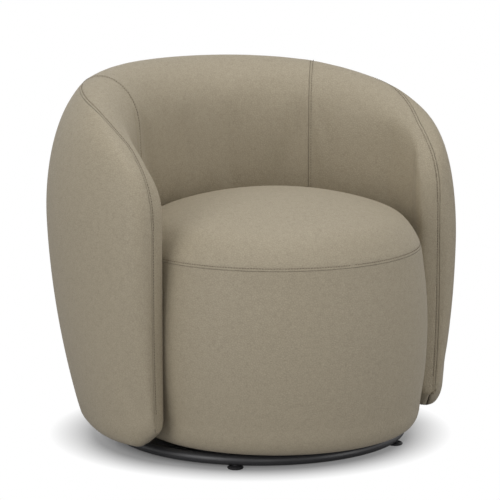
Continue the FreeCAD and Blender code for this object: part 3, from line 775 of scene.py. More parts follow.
@dataclass
class Shell:
    """The leather panels of the back and arms, their stitching and the cloth under them."""

    form: ShellForm = field(default_factory=ShellForm)
    maker: PanelMaker = field(default_factory=PanelMaker)
    dense: int = 420
    outer_rows: int = 44
    inner_rows: int = 40
    hem: float = 0.020
    nose_shares: tuple[float, ...] = (0.22, 0.32, 0.44, 0.56, 0.68, 0.80, 0.90)
    last_shares: tuple[float, ...] = (0.75, 0.5, 0.25)
    outer_degrees: float = 111.0
    outer_columns: int = 133
    back_width: float = 0.27
    back_columns: int = 24
    arm_width: float = 0.33
    arm_columns: int = 36
    even_start: float = 2.4
    hidden_rise: float = 0.05
    stitched_from: float = 0.050
    cloth_degrees: float = 109.0
    cloth_columns: int = 91
    cloth_rows: int = 9
    cloth_z: float = 0.0402

    def nose_columns(self, power: float) -> tuple[Array, Array]:
        """Turns and advances round the front of an arm, from its foremost line back.

        The columns stand close together at the seam, as the steps of the seam's own
        shape do, and the superellipse gives the advance for each share of the width.

        Args:
            power: power of that side's superellipse.

        Returns:
            The turns and the advances.
        """
        near = np.array(self.maker.seam.steps) / self.form.nose_radius
        share = np.concatenate([near, self.nose_shares])
        ahead = (1.0 - share ** power) ** (1.0 / power)
        ahead = np.concatenate([ahead, ahead[-1] * np.array(self.last_shares)])
        return np.full(len(ahead), self.form.nose_turn), self.form.nose_radius * ahead

    def outer_grid(self) -> tuple[Grid, Array]:
        """Plain grid of the one outside panel, and its points' distances from the seam.

        Columns run from the left arm's foremost line round the back to the right
        arm's, and rows from the crest seam down to the hem.

        Returns:
            The grid and the distances.
        """
        turn, advance = self.nose_columns(self.form.outer_square)
        middle = np.radians(np.linspace(-self.outer_degrees, self.outer_degrees, self.outer_columns))
        turns = np.concatenate([turn, np.abs(middle), turn[::-1]])
        sides = np.concatenate([-np.ones(len(turn)), np.where(middle < 0, -1.0, 1.0),
                                np.ones(len(turn))])
        advances = np.concatenate([advance, np.zeros(len(middle)), advance[::-1]])
        section = self.form.section(turns[None, :], sides[None, :], advances[None, :])
        way = np.linspace(0.0, 4.0, self.dense)[:, None]
        reach, height = section.outside(way, self.form.seam_share(section), self.hem)
        plain = self.form.place(section, reach, height)
        points = respaced(plain, self.maker.seam.row_targets(row_lengths(plain)[-1], self.outer_rows))
        return Grid(points, Facing.FRONT), self.seam_distance(points)

    def seam_distance(self, points: Array) -> Array:
        """Distance of each point from the seams: the first row and the first and last columns."""
        across = row_lengths(points.transpose(1, 0, 2)).T
        return np.minimum(np.minimum(row_lengths(points), across), across[:, -1:] - across)

    def inner_points(self, turns: Array, sides: Array, advances: Array) -> Array:
        """Plain inner surface over dense rows.

        Args:
            turns: angles from the back, of shape (dense, columns).
            sides: -1 on the left and 1 on the right.
            advances: distances past the last direction, round the front of an arm.

        Returns:
            Points of shape (dense, columns, 3).
        """
        section = self.form.section(turns, sides, advances)
        way = np.linspace(0.0, 6.0, self.dense)[:, None]
        reach, height = section.inside(way, self.form.seam_share(section), self.hem)
        return self.form.place(section, reach, height)

    def seam_turns(self) -> Array:
        """Directions of the inside-back seam over the dense rows."""
        return self.form.back_seam_turns(np.linspace(0.0, 6.0, self.dense)[:, None], self.hem)

    def back_grid(self) -> tuple[Grid, Array]:
        """Plain grid of the inside-back panel, whose columns share the width between its seams.

        Returns:
            The grid and its points' distances from the nearest seam.
        """
        near = np.array(self.maker.seam.steps) / self.back_width
        even = np.linspace(near[-1] * self.even_start, 1.0, self.back_columns)
        half = np.concatenate([near, even])
        shares = np.concatenate([half - 1.0, (1.0 - half[:-1])[::-1]])
        turns = np.abs(shares)[None, :] * self.seam_turns()
        sides = np.where(shares < 0.0, -1.0, 1.0)[None, :] + 0.0 * turns
        plain = self.inner_points(turns, sides, np.zeros_like(turns))
        points = respaced(plain, self.maker.seam.row_targets(row_lengths(plain)[-1], self.inner_rows))
        return Grid(points, Facing.BACK), self.seam_distance(points)

    def arm_grid(self, side: float) -> tuple[Grid, Array]:
        """Plain grid of one arm's inner panel, from the inside-back seam to the foremost line.

        Args:
            side: -1 on the left and 1 on the right.

        Returns:
            The grid and its points' distances from the nearest seam.
        """
        near = np.array(self.maker.seam.steps) / self.arm_width
        even = np.linspace(near[-1] * self.even_start, 1.0, self.arm_columns)
        shares = np.concatenate([near, even])[None, :]
        seam_turns = self.seam_turns()
        main = seam_turns + (self.form.nose_turn - seam_turns) * shares
        nose_turns, nose_advances = self.nose_columns(self.form.inner_square)
        each_row = np.ones((self.dense, 1))
        turns = np.concatenate([main, each_row * nose_turns[::-1][None, :]], axis=1)
        advances = np.concatenate([0.0 * main, each_row * nose_advances[::-1][None, :]], axis=1)
        plain = self.inner_points(turns, side + 0.0 * turns, advances)
        points = respaced(plain, self.maker.seam.row_targets(row_lengths(plain)[-1], self.inner_rows))
        facing = Facing.BACK if side > 0.0 else Facing.FRONT
        return Grid(points, facing), self.seam_distance(points)

    def kept_lines(self, count: int, close_first: bool, close_last: bool) -> Array:
        """Numbers of the rows or columns that are simulated, without the close ones at seams.

        Args:
            count: how many rows or columns there are.
            close_first: whether a seam lies along the first one.
            close_last: whether a seam lies along the last one.

        Returns:
            The numbers, with the seams themselves.
        """
        skip = len(self.maker.seam.steps)
        kept = [0] if close_first else []
        kept += list(range(skip if close_first else 0, count - (skip if close_last else 0)))
        kept += [count - 1] if close_last else []
        return np.array(kept)

    def build(self) -> list[bpy.types.Object]:
        """Makes the four leather panels, puffed and with rolled edges.

        Returns:
            The outer, inside-back, left arm and right arm panels.
        """
        made = []
        layout = [("shell_outer_leather", *self.outer_grid()), ("inside_back_leather", *self.back_grid()),
                  ("arm_leather_left", *self.arm_grid(-1.0)), ("arm_leather_right", *self.arm_grid(1.0))]
        for name, grid, distance in layout:
            rows, columns = grid.points.shape[:2]
            hidden = np.zeros((rows, columns), bool)
            hidden[-2:] = True
            if name != "shell_outer_leather":
                hidden |= grid.points[..., 2] < self.form.seat_seam_z + self.hidden_rise
            stitched = name.startswith("arm")
            shaped = self.maker.shaped(grid, distance, hidden, self.kept_lines(rows, True, False),
                                       self.kept_lines(columns, True, True), stitched)
            made.append(self.maker.panel(name, shaped, distance, stitched))
        return made

    def topstitch_paths(self) -> list[tuple[Array, Array]]:
        """Lines of the topstitching with the outward direction at each point.

        They run beside the crest seam on the inner panels, and on the arm panels on
        down the fronts of the arms and beside the inside-back seams.

        Returns:
            Points and directions of each line.
        """
        offset = self.maker.seam.stitch_place
        paths = []
        layout = ((self.back_grid()[0], False), (self.arm_grid(-1.0)[0], True),
                  (self.arm_grid(1.0)[0], True))
        for grid, on_arm in layout:
            points, normals = grid.points, grid.normals()
            down = row_lengths(points)
            row = int(np.argmin(np.abs(down.mean(axis=1) - offset)))
            line = respaced(points, np.full((1, points.shape[1]), offset))[0]
            if not on_arm:
                paths.append((line, normals[row]))
                continue
            wanted = np.full((1, points.shape[0]), offset)
            across = points.transpose(1, 0, 2)
            front = respaced(across[::-1], wanted)[0]
            ahead = row_lengths(across[::-1])[::-1, row] >= offset
            below = (down[:, -1] >= offset) & (front[:, 2] > self.form.bottom_z + self.stitched_from)
            edge = points.shape[1] - len(self.maker.seam.steps)
            paths.append((np.concatenate([line[ahead], front[below]]),
                          np.concatenate([normals[row, ahead], normals[below, edge]])))
            behind = respaced(across, wanted)[0]
            visible = behind[:, 2] > self.form.seat_seam_z
            column = int(np.argmin(np.abs(row_lengths(across).mean(axis=1) - offset)))
            paths.append((behind[visible], normals[visible, column]))
        return paths

    def underside(self) -> bpy.types.Object:
        """The stretched cloth under the shell, a level C between the two hems.

        Returns:
            The cloth.
        """
        turns = np.radians(np.linspace(-self.cloth_degrees, self.cloth_degrees, self.cloth_columns))
        section = self.form.section(np.abs(turns)[None, :], np.sign(turns)[None, :] + (turns == 0.0),
                                    np.zeros((1, len(turns))))
        outer = section.bottom_out - section.flat
        inner = np.minimum(section.low_in + section.small, outer - self.form.hem_least)
        across = np.linspace(0.0, 1.0, self.cloth_rows)[:, None]
        reach = inner + (outer - inner) * across
        points = self.form.place(section, reach, np.full_like(reach, self.cloth_z))
        return Grid(points, Facing.BACK).mesh("shell_underside_cloth")


@dataclass
class Seat:
    """The crowned seat top, the leather round the drum, the felt and the cloth below."""

    centre_y: float = -0.059
    seam_radius: float = 0.272
    seam_z: float = 0.376
    shoulder_radius: float = 0.231
    shoulder_z: float = 0.4365
    crown_z: float = 0.478
    middle_radius: float = 0.286
    middle_z: float = 0.215
    bottom_radius: float = 0.243
    bottom_z: float = 0.0308
    corner_height: float = 0.042
    hem_radius: float = 0.217
    hem_rise: float = 0.0004
    shoulder_share: float = 0.35
    shoulder_rise: float = 0.52
    corner_share: float = 0.74
    corner_rise: float = 0.29
    dense: tuple[int, ...] = (120, 300, 80)
    columns: int = 112
    top_rows: int = 22
    side_rows: int = 26
    still_rows: int = 4
    near_stitches: float = 0.0070
    felt_radius: float = 0.266
    felt_z: float = 0.3608
    felt_sag: float = 0.0008
    felt_rows: int = 24
    felt_thickness: float = 0.0010
    spring_pitch: float = 0.082
    cloth_radius: float = 0.2164
    hole_radius: float = 0.1110
    cloth_z: float = 0.0343
    cloth_columns: int = 96
    cloth_rows: int = 9
    maker: PanelMaker = field(default_factory=PanelMaker)

    def turned(self, outline: Array) -> Array:
        """Grid made by turning an outline about the drum's axis.

        Args:
            outline: reaches and heights, one row each.

        Returns:
            Points of shape (rows, columns, 3).
        """
        lean = np.linspace(0.0, WHOLE, self.columns, endpoint=False)[None, :]
        reach, height = outline[:, :1], outline[:, 1:]
        x = reach * np.sin(lean)
        y = self.centre_y + AXIS_Y - reach * np.cos(lean)
        return np.stack(np.broadcast_arrays(x, y, height + 0.0 * lean), axis=-1)

    def dome(self) -> Array:
        """Half outline of the crowned top: two arcs, from the seam over the shoulder to the crown.

        Returns:
            Reaches and heights, one row each.
        """
        drop = self.crown_z - self.shoulder_z
        curve = self.shoulder_radius ** 2 / (2.0 * drop) + drop / 2.0
        half = self.shoulder_radius / 2.0
        half_z = self.crown_z - curve + math.sqrt(curve ** 2 - half ** 2)
        turn = (self.seam_radius - self.shoulder_share * (self.seam_radius - self.shoulder_radius),
                self.seam_z + self.shoulder_rise * (self.shoulder_z - self.seam_z))
        shoulder = (self.shoulder_radius, self.shoulder_z)
        first = circle_arc((self.seam_radius, self.seam_z), turn, shoulder, self.dense[0])
        second = circle_arc(shoulder, (half, half_z), (0.0, self.crown_z), self.dense[1])
        return np.concatenate([first, second[1:]])

    def side(self) -> Array:
        """Side outline of the drum: two arcs from the seam down to the bottom edge, and the hem.

        Returns:
            Reaches and heights, one row each.
        """
        shoulder = (self.seam_radius, self.bottom_z + self.corner_height)
        corner = (self.bottom_radius + self.corner_share * (self.seam_radius - self.bottom_radius),
                  self.bottom_z + self.corner_rise * self.corner_height)
        first = circle_arc((self.seam_radius, self.seam_z), (self.middle_radius, self.middle_z),
                           shoulder, self.dense[1])
        second = circle_arc(shoulder, corner, (self.bottom_radius, self.bottom_z), self.dense[2])
        hem = np.array([[self.hem_radius, self.bottom_z + self.hem_rise]])
        return np.concatenate([first, second[1:], hem])

    def panel(self, name: str, outline: Array, rows: int, crown: bool) -> bpy.types.Object:
        """A turned leather panel, puffed, with its edge rolled under at the seat seam.

        Args:
            name: name of the piece.
            outline: dense outline that starts at the seam.
            rows: number of evenly spaced rows after the close ones.
            crown: True where the outline ends on the axis.

        Returns:
            The finished piece.
        """
        plain = self.turned(outline)
        points = respaced(plain, self.maker.seam.row_targets(row_lengths(plain)[-1], rows))
        grid = Grid(points, Facing.FRONT if crown else Facing.BACK, closed=True, pole=crown)
        distance = row_lengths(points)
        still = np.zeros(distance.shape, bool)
        if not crown:
            still[-self.still_rows:] = True
        keep = np.concatenate([[0], np.arange(len(self.maker.seam.steps), len(points))])
        shaped = self.maker.shaped(grid, distance, still, keep, np.arange(self.columns), crown)
        return self.maker.panel(name, shaped, distance, crown)

    def build(self) -> list[bpy.types.Object]:
        """Makes the seat top and the drum's side panel.

        Returns:
            The two pieces.
        """
        return [self.panel("seat_leather_top", self.dome(), self.top_rows, True),
                self.panel("drum_leather_side", self.side(), self.side_rows, False)]

    def topstitch_path(self) -> tuple[Array, Array]:
        """The ring of topstitching above the seat seam.

        Returns:
            Points of the closed line and the outward direction at each.
        """
        plain = self.turned(self.dome())
        line = respaced(plain, np.full((1, self.columns), self.maker.seam.stitch_place))[0]
        near = respaced(plain, np.full((1, self.columns), self.near_stitches))[0]
        along = np.roll(line, -1, axis=0) - line
        normals = unit(np.cross(along, near - line))
        closed = np.concatenate([line, line[:1]])
        return closed, np.concatenate([normals, normals[:1]])

    def felt(self) -> bpy.types.Object:
        """The felt pad that lies on the springs, a thin disc that sags between them.

        The sag is a cosine wave across the chair, one wave for each spring.

        Returns:
            The pad.
        """
        reach = np.linspace(self.felt_radius, 0.0, self.felt_rows)[:, None]
        points = self.turned(np.concatenate([reach, np.full_like(reach, self.felt_z)], axis=1))
        wave = 1.0 + np.cos(points[..., 0] * WHOLE / self.spring_pitch + math.pi)
        points[..., 2] -= self.felt_sag * wave
        piece = Grid(points, Facing.FRONT, closed=True, pole=True).mesh("spring_felt_pad")
        wall = piece.modifiers.new("felt", "SOLIDIFY")
        wall.thickness = self.felt_thickness
        wall.offset = -1.0
        return piece

    def underside(self) -> bpy.types.Object:
        """The cloth under the drum, ruled from the hem's circle to the bearing's hole.

        Returns:
            The cloth.
        """
        lean = np.linspace(0.0, WHOLE, self.cloth_columns, endpoint=False)[None, :]
        across = np.linspace(0.0, 1.0, self.cloth_rows)[:, None, None]
        outer = np.stack([self.cloth_radius * np.sin(lean),
                          self.centre_y - self.cloth_radius * np.cos(lean)], axis=-1)
        inner = np.stack([self.hole_radius * np.sin(lean), -self.hole_radius * np.cos(lean)], axis=-1)
        flat = outer * (1.0 - across) + inner * across
        height = np.full(flat.shape[:2] + (1,), self.cloth_z)
        points = np.concatenate([flat, height], axis=-1)
        points[..., 1] += AXIS_Y
        return Grid(points, Facing.BACK, closed=True).mesh("drum_underside_cloth")


@dataclass(frozen=True)
class Stitching:
    """Rows of single thread stitches that dip into the leather at both ends."""

    pitch: float = 0.0052
    length: float = 0.0042
    radius: float = 0.00042
    sides: int = 6
    rings: int = 5
    slope_step: float = 0.001
    sunk_share: float = 0.75
    end_share: float = 0.35

    def picked(self, values: Array, run: Array, places: Array) -> Array:
        """Values along a line at given distances, by straight lines between its points."""
        return np.stack([np.interp(places, run, values[:, axis]) for axis in range(3)], axis=-1)

    def row(self, line: Array, normals: Array) -> tuple[Array, Array]:
        """Vertices and faces of the stitches along one line.

        Each stitch is a thin rod along the line whose radius and height above the
        leather follow half an ellipse, so that both ends sink in.

        Args:
            line: points of the line.
            normals: outward direction at each point.

        Returns:
            Vertices, and faces that number them from 0.
        """
        run = np.concatenate([[0.0], np.cumsum(np.linalg.norm(np.diff(line, axis=0), axis=-1))])
        places = np.arange(self.pitch, run[-1] - self.pitch, self.pitch)
        centre = self.picked(line, run, places)
        along = unit(self.picked(line, run, places + self.slope_step)
                     - self.picked(line, run, places - self.slope_step))
        up = unit(self.picked(normals, run, places))
        up = unit(up - along * (up * along).sum(axis=-1, keepdims=True))
        across = np.cross(along, up)
        share = np.linspace(-1.0, 1.0, self.rings)
        swell = np.sqrt(np.maximum(1.0 - share ** 2, 0.0))
        lift = (swell - self.sunk_share) * self.radius
        lean = WHOLE * np.arange(self.sides) / self.sides
        reach = (share * self.length / 2.0)[None, :, None, None]
        body = centre[:, None, None, :] + along[:, None, None, :] * reach
        body = body + up[:, None, None, :] * lift[None, :, None, None]
        thick = (self.radius * (self.end_share + (1.0 - self.end_share) * swell))[None, :, None, None]
        body = body + thick * (up[:, None, None, :] * np.cos(lean)[None, None, :, None]
                               + across[:, None, None, :] * np.sin(lean)[None, None, :, None])
        index = np.arange(body[..., 0].size).reshape(body.shape[:3])
        following = np.roll(index, -1, axis=2)
        faces = np.stack([index[:, :-1], following[:, :-1], following[:, 1:], index[:, 1:]], axis=-1)
        return body.reshape(-1, 3), faces.reshape(-1, 4)

    def piece(self, name: str, paths: list[tuple[Array, Array]]) -> bpy.types.Object:
        """One object with the stitches of several lines.

        Args:
            name: name of the piece.
            paths: points and outward directions of each line.

        Returns:
            The piece.
        """
        points, faces, count = [], [], 0
        for line, normals in paths:
            new_points, new_faces = self.row(line, normals)
            points.append(new_points)
            faces.append(new_faces + count)
            count += len(new_points)
        return mesh_piece(name, np.concatenate(points), np.concatenate(faces).tolist())


def linear(colour: Colour) -> tuple[float, float, float, float]:
    """Scene-linear colour of a display colour, by the display's own curve.

    Args:
        colour: red, green and blue, 0 to 255.

    Returns:
        Red, green, blue and a full alpha, 0 to 1.
    """
    share = np.array(colour) / 255.0
    value = np.where(share <= 0.04045, share / 12.92, ((share + 0.055) / 1.055) ** 2.4)
    return (*value.tolist(), 1.0)


def darker(colour: Colour, share: float) -> Colour:
    """A colour with each of its parts brought down to a share of it."""
    return tuple(int(value * share) for value in colour)


class Net:
    """A node tree while it is being wired."""

    def __init__(self, tree: bpy.types.NodeTree) -> None:
        """Keeps the tree and empties it."""
        self.tree = tree
        self.tree.nodes.clear()

    def add(self, kind: str, **values: object) -> bpy.types.Node:
        """Adds a node and sets inputs or settings on it.

        Args:
            kind: Blender's name of the node type.
            values: settings by attribute, or input values with in_ before the socket's name.

        Returns:
            The new node.
        """
        node = self.tree.nodes.new(kind)
        for name, value in values.items():
            if name.startswith("in_"):
                node.inputs[name[3:].replace("_", " ")].default_value = value
            else:
                setattr(node, name, value)
        return node

    def link(self, source: bpy.types.NodeSocket, target: bpy.types.NodeSocket) -> None:
        """Joins two sockets."""
        self.tree.links.new(source, target)

    def maths(self, operation: str, first: object, second: object) -> bpy.types.NodeSocket:
        """Output of a maths node.

        Args:
            operation: Blender's name of the operation.
            first: a socket or a number.
            second: a socket or a number.

        Returns:
            The output socket.
        """
        node = self.add("ShaderNodeMath", operation=operation)
        for socket, value in zip(node.inputs, (first, second)):
            if isinstance(value, bpy.types.NodeSocket):
                self.link(value, socket)
            else:
                socket.default_value = value
        return node.outputs[0]

    def ramp(self, value: bpy.types.NodeSocket, low: float, high: float, start: float,
             end: float) -> bpy.types.NodeSocket:
        """Output of a map from one range of values to another, kept within it.

        Args:
            value: socket of the value.
            low: value that gives the start.
            high: value that gives the end.
            start: result up to low.
            end: result from high on.

        Returns:
            The output socket.
        """
        node = self.add("ShaderNodeMapRange")
        self.link(value, node.inputs["Value"])
        for name, number in (("From Min", low), ("From Max", high), ("To Min", start), ("To Max", end)):
            node.inputs[name].default_value = number
        return node.outputs["Result"]

    def blend(self, share: bpy.types.NodeSocket, first: bpy.types.NodeSocket | Colour,
              second: Colour) -> bpy.types.NodeSocket:
        """Output of a mix of two colours.

        Args:
            share: socket of the second colour's share.
            first: socket of a colour, or the colour itself.
            second: the other colour.

        Returns:
            The output socket.
        """
        mix = self.add("ShaderNodeMix", data_type="RGBA")
        self.link(share, mix.inputs["Factor"])
        if isinstance(first, bpy.types.NodeSocket):
            self.link(first, mix.inputs["A"])
        else:
            mix.inputs["A"].default_value = linear(first)
        mix.inputs["B"].default_value = linear(second)
        return mix.outputs["Result"]


class Effects:
    """Node groups that several finishes share, each made once."""

    made: dict[str, bpy.types.NodeTree] = {}

    @classmethod
    def group(cls, name: str, inputs: list[tuple[str, str, float]],
              outputs: list[str]) -> tuple[Net, bpy.types.Node, bpy.types.Node]:
        """A new node group with its inputs and outputs.

        Args:
            name: name of the group.
            inputs: name, socket type and start value of each input.
            outputs: names of the outputs, all numbers.

        Returns:
            The net, the group's input node and its output node.
        """
        tree = bpy.data.node_groups.new(name, "ShaderNodeTree")
        for label, kind, value in inputs:
            socket = tree.interface.new_socket(label, in_out="INPUT", socket_type=kind)
            if kind == "NodeSocketFloat":
                socket.default_value = value
        for label in outputs:
            tree.interface.new_socket(label, in_out="OUTPUT", socket_type="NodeSocketFloat")
        net = Net(tree)
        cls.made[name] = tree
        return net, net.add("NodeGroupInput"), net.add("NodeGroupOutput")

    @classmethod
    def mottle(cls) -> bpy.types.NodeTree:
        """Cloudy variation from two noises, one broad and one five times finer.

        Returns:
            The node group.
        """
        if "cloudy_mottle" in cls.made:
            return cls.made["cloudy_mottle"]
        net, start, end = cls.group("cloudy_mottle", [("Vector", "NodeSocketVector", 0.0),
                                                      ("Scale", "NodeSocketFloat", 8.0)], ["Value"])
        broad = net.add("ShaderNodeTexNoise", in_Detail=3.0, in_Roughness=0.55)
        fine = net.add("ShaderNodeTexNoise", in_Detail=2.0, in_Roughness=0.6)
        net.link(start.outputs["Vector"], broad.inputs["Vector"])
        net.link(start.outputs["Vector"], fine.inputs["Vector"])
        net.link(start.outputs["Scale"], broad.inputs["Scale"])
        net.link(net.maths("MULTIPLY", start.outputs["Scale"], 5.0), fine.inputs["Scale"])
        both = net.maths("ADD", net.maths("MULTIPLY", broad.outputs["Fac"], 0.65),
                         net.maths("MULTIPLY", fine.outputs["Fac"], 0.35))
        net.link(net.ramp(both, 0.32, 0.68, 0.0, 1.0), end.inputs["Value"])
        return cls.made["cloudy_mottle"]

    @classmethod
    def pebble(cls) -> bpy.types.NodeTree:
        """Leather pebbles: cells with low creases between them, bent by noise, of two sizes.

        Returns:
            The node group.
        """
        if "pebbled_grain" in cls.made:
            return cls.made["pebbled_grain"]
        net, start, end = cls.group("pebbled_grain", [("Vector", "NodeSocketVector", 0.0),
                                                      ("Cells per metre", "NodeSocketFloat", 500.0)],
                                    ["Height", "Crease"])
        bend = net.add("ShaderNodeTexNoise", in_Detail=2.0)
        net.link(start.outputs["Vector"], bend.inputs["Vector"])
        net.link(net.maths("MULTIPLY", start.outputs["Cells per metre"], 0.6), bend.inputs["Scale"])
        shift = net.add("ShaderNodeVectorMath", operation="SCALE")
        net.link(bend.outputs["Color"], shift.inputs[0])
        net.link(net.maths("DIVIDE", 0.55, start.outputs["Cells per metre"]), shift.inputs["Scale"])
        bent = net.add("ShaderNodeVectorMath", operation="ADD")
        net.link(start.outputs["Vector"], bent.inputs[0])
        net.link(shift.outputs[0], bent.inputs[1])
        edge = net.add("ShaderNodeTexVoronoi", feature="DISTANCE_TO_EDGE")
        small = net.add("ShaderNodeTexVoronoi", feature="SMOOTH_F1", in_Smoothness=0.6)
        for node, factor in ((edge, 1.0), (small, 2.3)):
            net.link(bent.outputs[0], node.inputs["Vector"])
            net.link(net.maths("MULTIPLY", start.outputs["Cells per metre"], factor), node.inputs["Scale"])
        crown = net.ramp(edge.outputs["Distance"], 0.0, 0.28, 0.0, 1.0)
        height = net.maths("SUBTRACT", crown, net.maths("MULTIPLY", small.outputs["Distance"], 0.35))
        net.link(height, end.inputs["Height"])
        net.link(net.ramp(edge.outputs["Distance"], 0.0, 0.12, 1.0, 0.0), end.inputs["Crease"])
        return cls.made["pebbled_grain"]


@dataclass(frozen=True)
class Finish:
    """A surface finish: its colour, its gloss and how much both vary."""

    name: str
    colour: Colour
    dark: Colour
    roughness: float = 0.6
    metallic: float = 0.0
    specular: float = 0.4
    mottle_scale: float = 9.0
    rough_spread: float = 0.08

    def material(self) -> bpy.types.Material:
        """The finish's material, made the first time it is asked for."""
        made = bpy.data.materials.get(self.name)
        return made if made else self.wire()

    def wire(self) -> bpy.types.Material:
        """Wires the shader: mottled colour and roughness, then the finish's own relief.

        Returns:
            The new material.
        """
        material = bpy.data.materials.new(self.name)
        material.use_nodes = True
        material.diffuse_color = linear(self.colour)
        net = Net(material.node_tree)
        output = net.add("ShaderNodeOutputMaterial")
        shader = net.add("ShaderNodeBsdfPrincipled", in_Metallic=self.metallic,
                         in_Specular_IOR_Level=self.specular)
        net.link(shader.outputs["BSDF"], output.inputs["Surface"])
        place = net.add("ShaderNodeTexCoord").outputs["Object"]
        mottle = net.add("ShaderNodeGroup", node_tree=Effects.mottle())
        net.link(place, mottle.inputs["Vector"])
        mottle.inputs["Scale"].default_value = self.mottle_scale
        colour = net.blend(mottle.outputs["Value"], self.dark, self.colour)
        rough = net.ramp(mottle.outputs["Value"], 0.0, 1.0, self.roughness + self.rough_spread,
                         self.roughness - self.rough_spread)
        self.relief(net, shader, place, colour, rough)
        return material

    def relief(self, net: Net, shader: bpy.types.Node, place: bpy.types.NodeSocket,
               colour: bpy.types.NodeSocket, rough: bpy.types.NodeSocket) -> None:
        """Fine even speckle, the plainest relief; other finishes have their own.

        Args:
            net: the material's net.
            shader: its shader.
            place: socket of the place on the piece.
            colour: socket of the mottled colour.
            rough: socket of the mottled roughness.
        """
        net.link(colour, shader.inputs["Base Color"])
        net.link(rough, shader.inputs["Roughness"])
        speckle = net.add("ShaderNodeTexNoise", in_Scale=900.0, in_Detail=2.0)
        net.link(place, speckle.inputs["Vector"])
        self.bump(net, shader, speckle.outputs["Fac"], 0.25, 0.0001)

    def bump(self, net: Net, shader: bpy.types.Node, height: bpy.types.NodeSocket, strength: float,
             distance: float) -> None:
        """Feeds a height to the shader's normal through a bump node.

        Args:
            net: the material's net.
            shader: its shader.
            height: socket of the height.
            strength: share of the relief that shows.
            distance: depth of the relief in metres.
        """
        bump = net.add("ShaderNodeBump", in_Strength=strength, in_Distance=distance)
        net.link(height, bump.inputs["Height"])
        net.link(bump.outputs["Normal"], shader.inputs["Normal"])


@dataclass(frozen=True)
class Leather(Finish):
    """Matt pebbled leather with shade painted into its creases and along its seams, and a faint sheen."""

    cells_per_metre: float = 240.0
    # The crease and seam shares and darks set painted shade in the grain's creases and along the seams.
    painted_crease_share: float = 0.24
    seam_share: float = 0.20
    grain_scale: float = 150.0
    grain_share: float = 3.0
    painted_crease_dark: float = 0.62
    painted_seam_dark: float = 0.55
    crease_rough: float = 0.08
    sheen: float = 0.06
    sheen_rough: float = 0.5
    relief_strength: float = 0.55
    relief_depth: float = 0.00036

    def relief(self, net: Net, shader: bpy.types.Node, place: bpy.types.NodeSocket,
               colour: bpy.types.NodeSocket, rough: bpy.types.NodeSocket) -> None:
        """Pebbles of two sizes, with painted shade in the creases' colour and a rougher surface there, and
        painted shade along the seams.

        Args:
            net: the material's net.
            shader: its shader.
            place: socket of the place on the piece.
            colour: socket of the mottled colour.
            rough: socket of the mottled roughness.
        """
        pebble = net.add("ShaderNodeGroup", node_tree=Effects.pebble())
        net.link(place, pebble.inputs["Vector"])
        pebble.inputs["Cells per metre"].default_value = self.cells_per_metre
        # Painted shade: the grain's creases are darkened in colour, on top of their bump.
        crease = pebble.outputs["Crease"]
        crease_painted_colour = net.blend(net.maths("MULTIPLY", crease, self.painted_crease_share), colour,
                            darker(self.dark, self.painted_crease_dark))
        # Painted shade: darker along the seams and in the stitched channel, by the panel's seam attribute.
        seam = net.add("ShaderNodeAttribute", attribute_name="painted_seam_shade")
        seam_painted_colour = net.blend(net.maths("MULTIPLY", seam.outputs["Fac"], self.seam_share), crease_painted_colour,
                         darker(self.dark, self.painted_seam_dark))
        net.link(seam_painted_colour, shader.inputs["Base Color"])
        net.link(net.maths("ADD", rough, net.maths("MULTIPLY", crease, self.crease_rough)),
                 shader.inputs["Roughness"])
        shader.inputs["Sheen Weight"].default_value = self.sheen
        shader.inputs["Sheen Roughness"].default_value = self.sheen_rough
        grain = net.add("ShaderNodeTexNoise", in_Scale=self.grain_scale, in_Detail=3.0, in_Roughness=0.6)
        net.link(place, grain.inputs["Vector"])
        height = net.maths("ADD", pebble.outputs["Height"],
                           net.maths("MULTIPLY", grain.outputs["Fac"], self.grain_share))
        self.bump(net, shader, height, self.relief_strength, self.relief_depth)


@dataclass(frozen=True)
class Timber(Finish):
    """Wood with grain drawn out along one direction."""

    stretch: tuple[float, float, float] = (6.0, 60.0, 60.0)
    ply_thickness: float = 0.0
    ply_edges: tuple[float, float] = (0.35, 0.65)
    ply_tone: float = 0.3

    def relief(self, net: Net, shader: bpy.types.Node, place: bpy.types.NodeSocket,
               colour: bpy.types.NodeSocket, rough: bpy.types.NodeSocket) -> None:
        """Stretched noise for the grain, and level bands where the wood is plywood.

        Args:
            net: the material's net.
            shader: its shader.
            place: socket of the place on the piece.
            colour: socket of the mottled colour.
            rough: socket of the mottled roughness.
        """
        mapping = net.add("ShaderNodeMapping")
        mapping.inputs["Scale"].default_value = self.stretch
        net.link(place, mapping.inputs["Vector"])
        grain = net.add("ShaderNodeTexNoise", in_Scale=1.0, in_Detail=6.0, in_Roughness=0.65,
                        in_Distortion=0.6)
        net.link(mapping.outputs["Vector"], grain.inputs["Vector"])
        tone = net.ramp(grain.outputs["Fac"], 0.35, 0.7, 0.0, 0.55)
        if self.ply_thickness > 0.0:
            split = net.add("ShaderNodeSeparateXYZ")
            net.link(place, split.inputs[0])
            band = net.maths("PINGPONG", split.outputs["Z"], self.ply_thickness)
            edges = [share * self.ply_thickness for share in self.ply_edges]
            ply = net.ramp(band, edges[0], edges[1], 0.0, self.ply_tone)
            tone = net.maths("ADD", tone, ply)
        net.link(net.blend(tone, colour, self.dark), shader.inputs["Base Color"])
        net.link(rough, shader.inputs["Roughness"])
        self.bump(net, shader, grain.outputs["Fac"], 0.3, 0.0003)


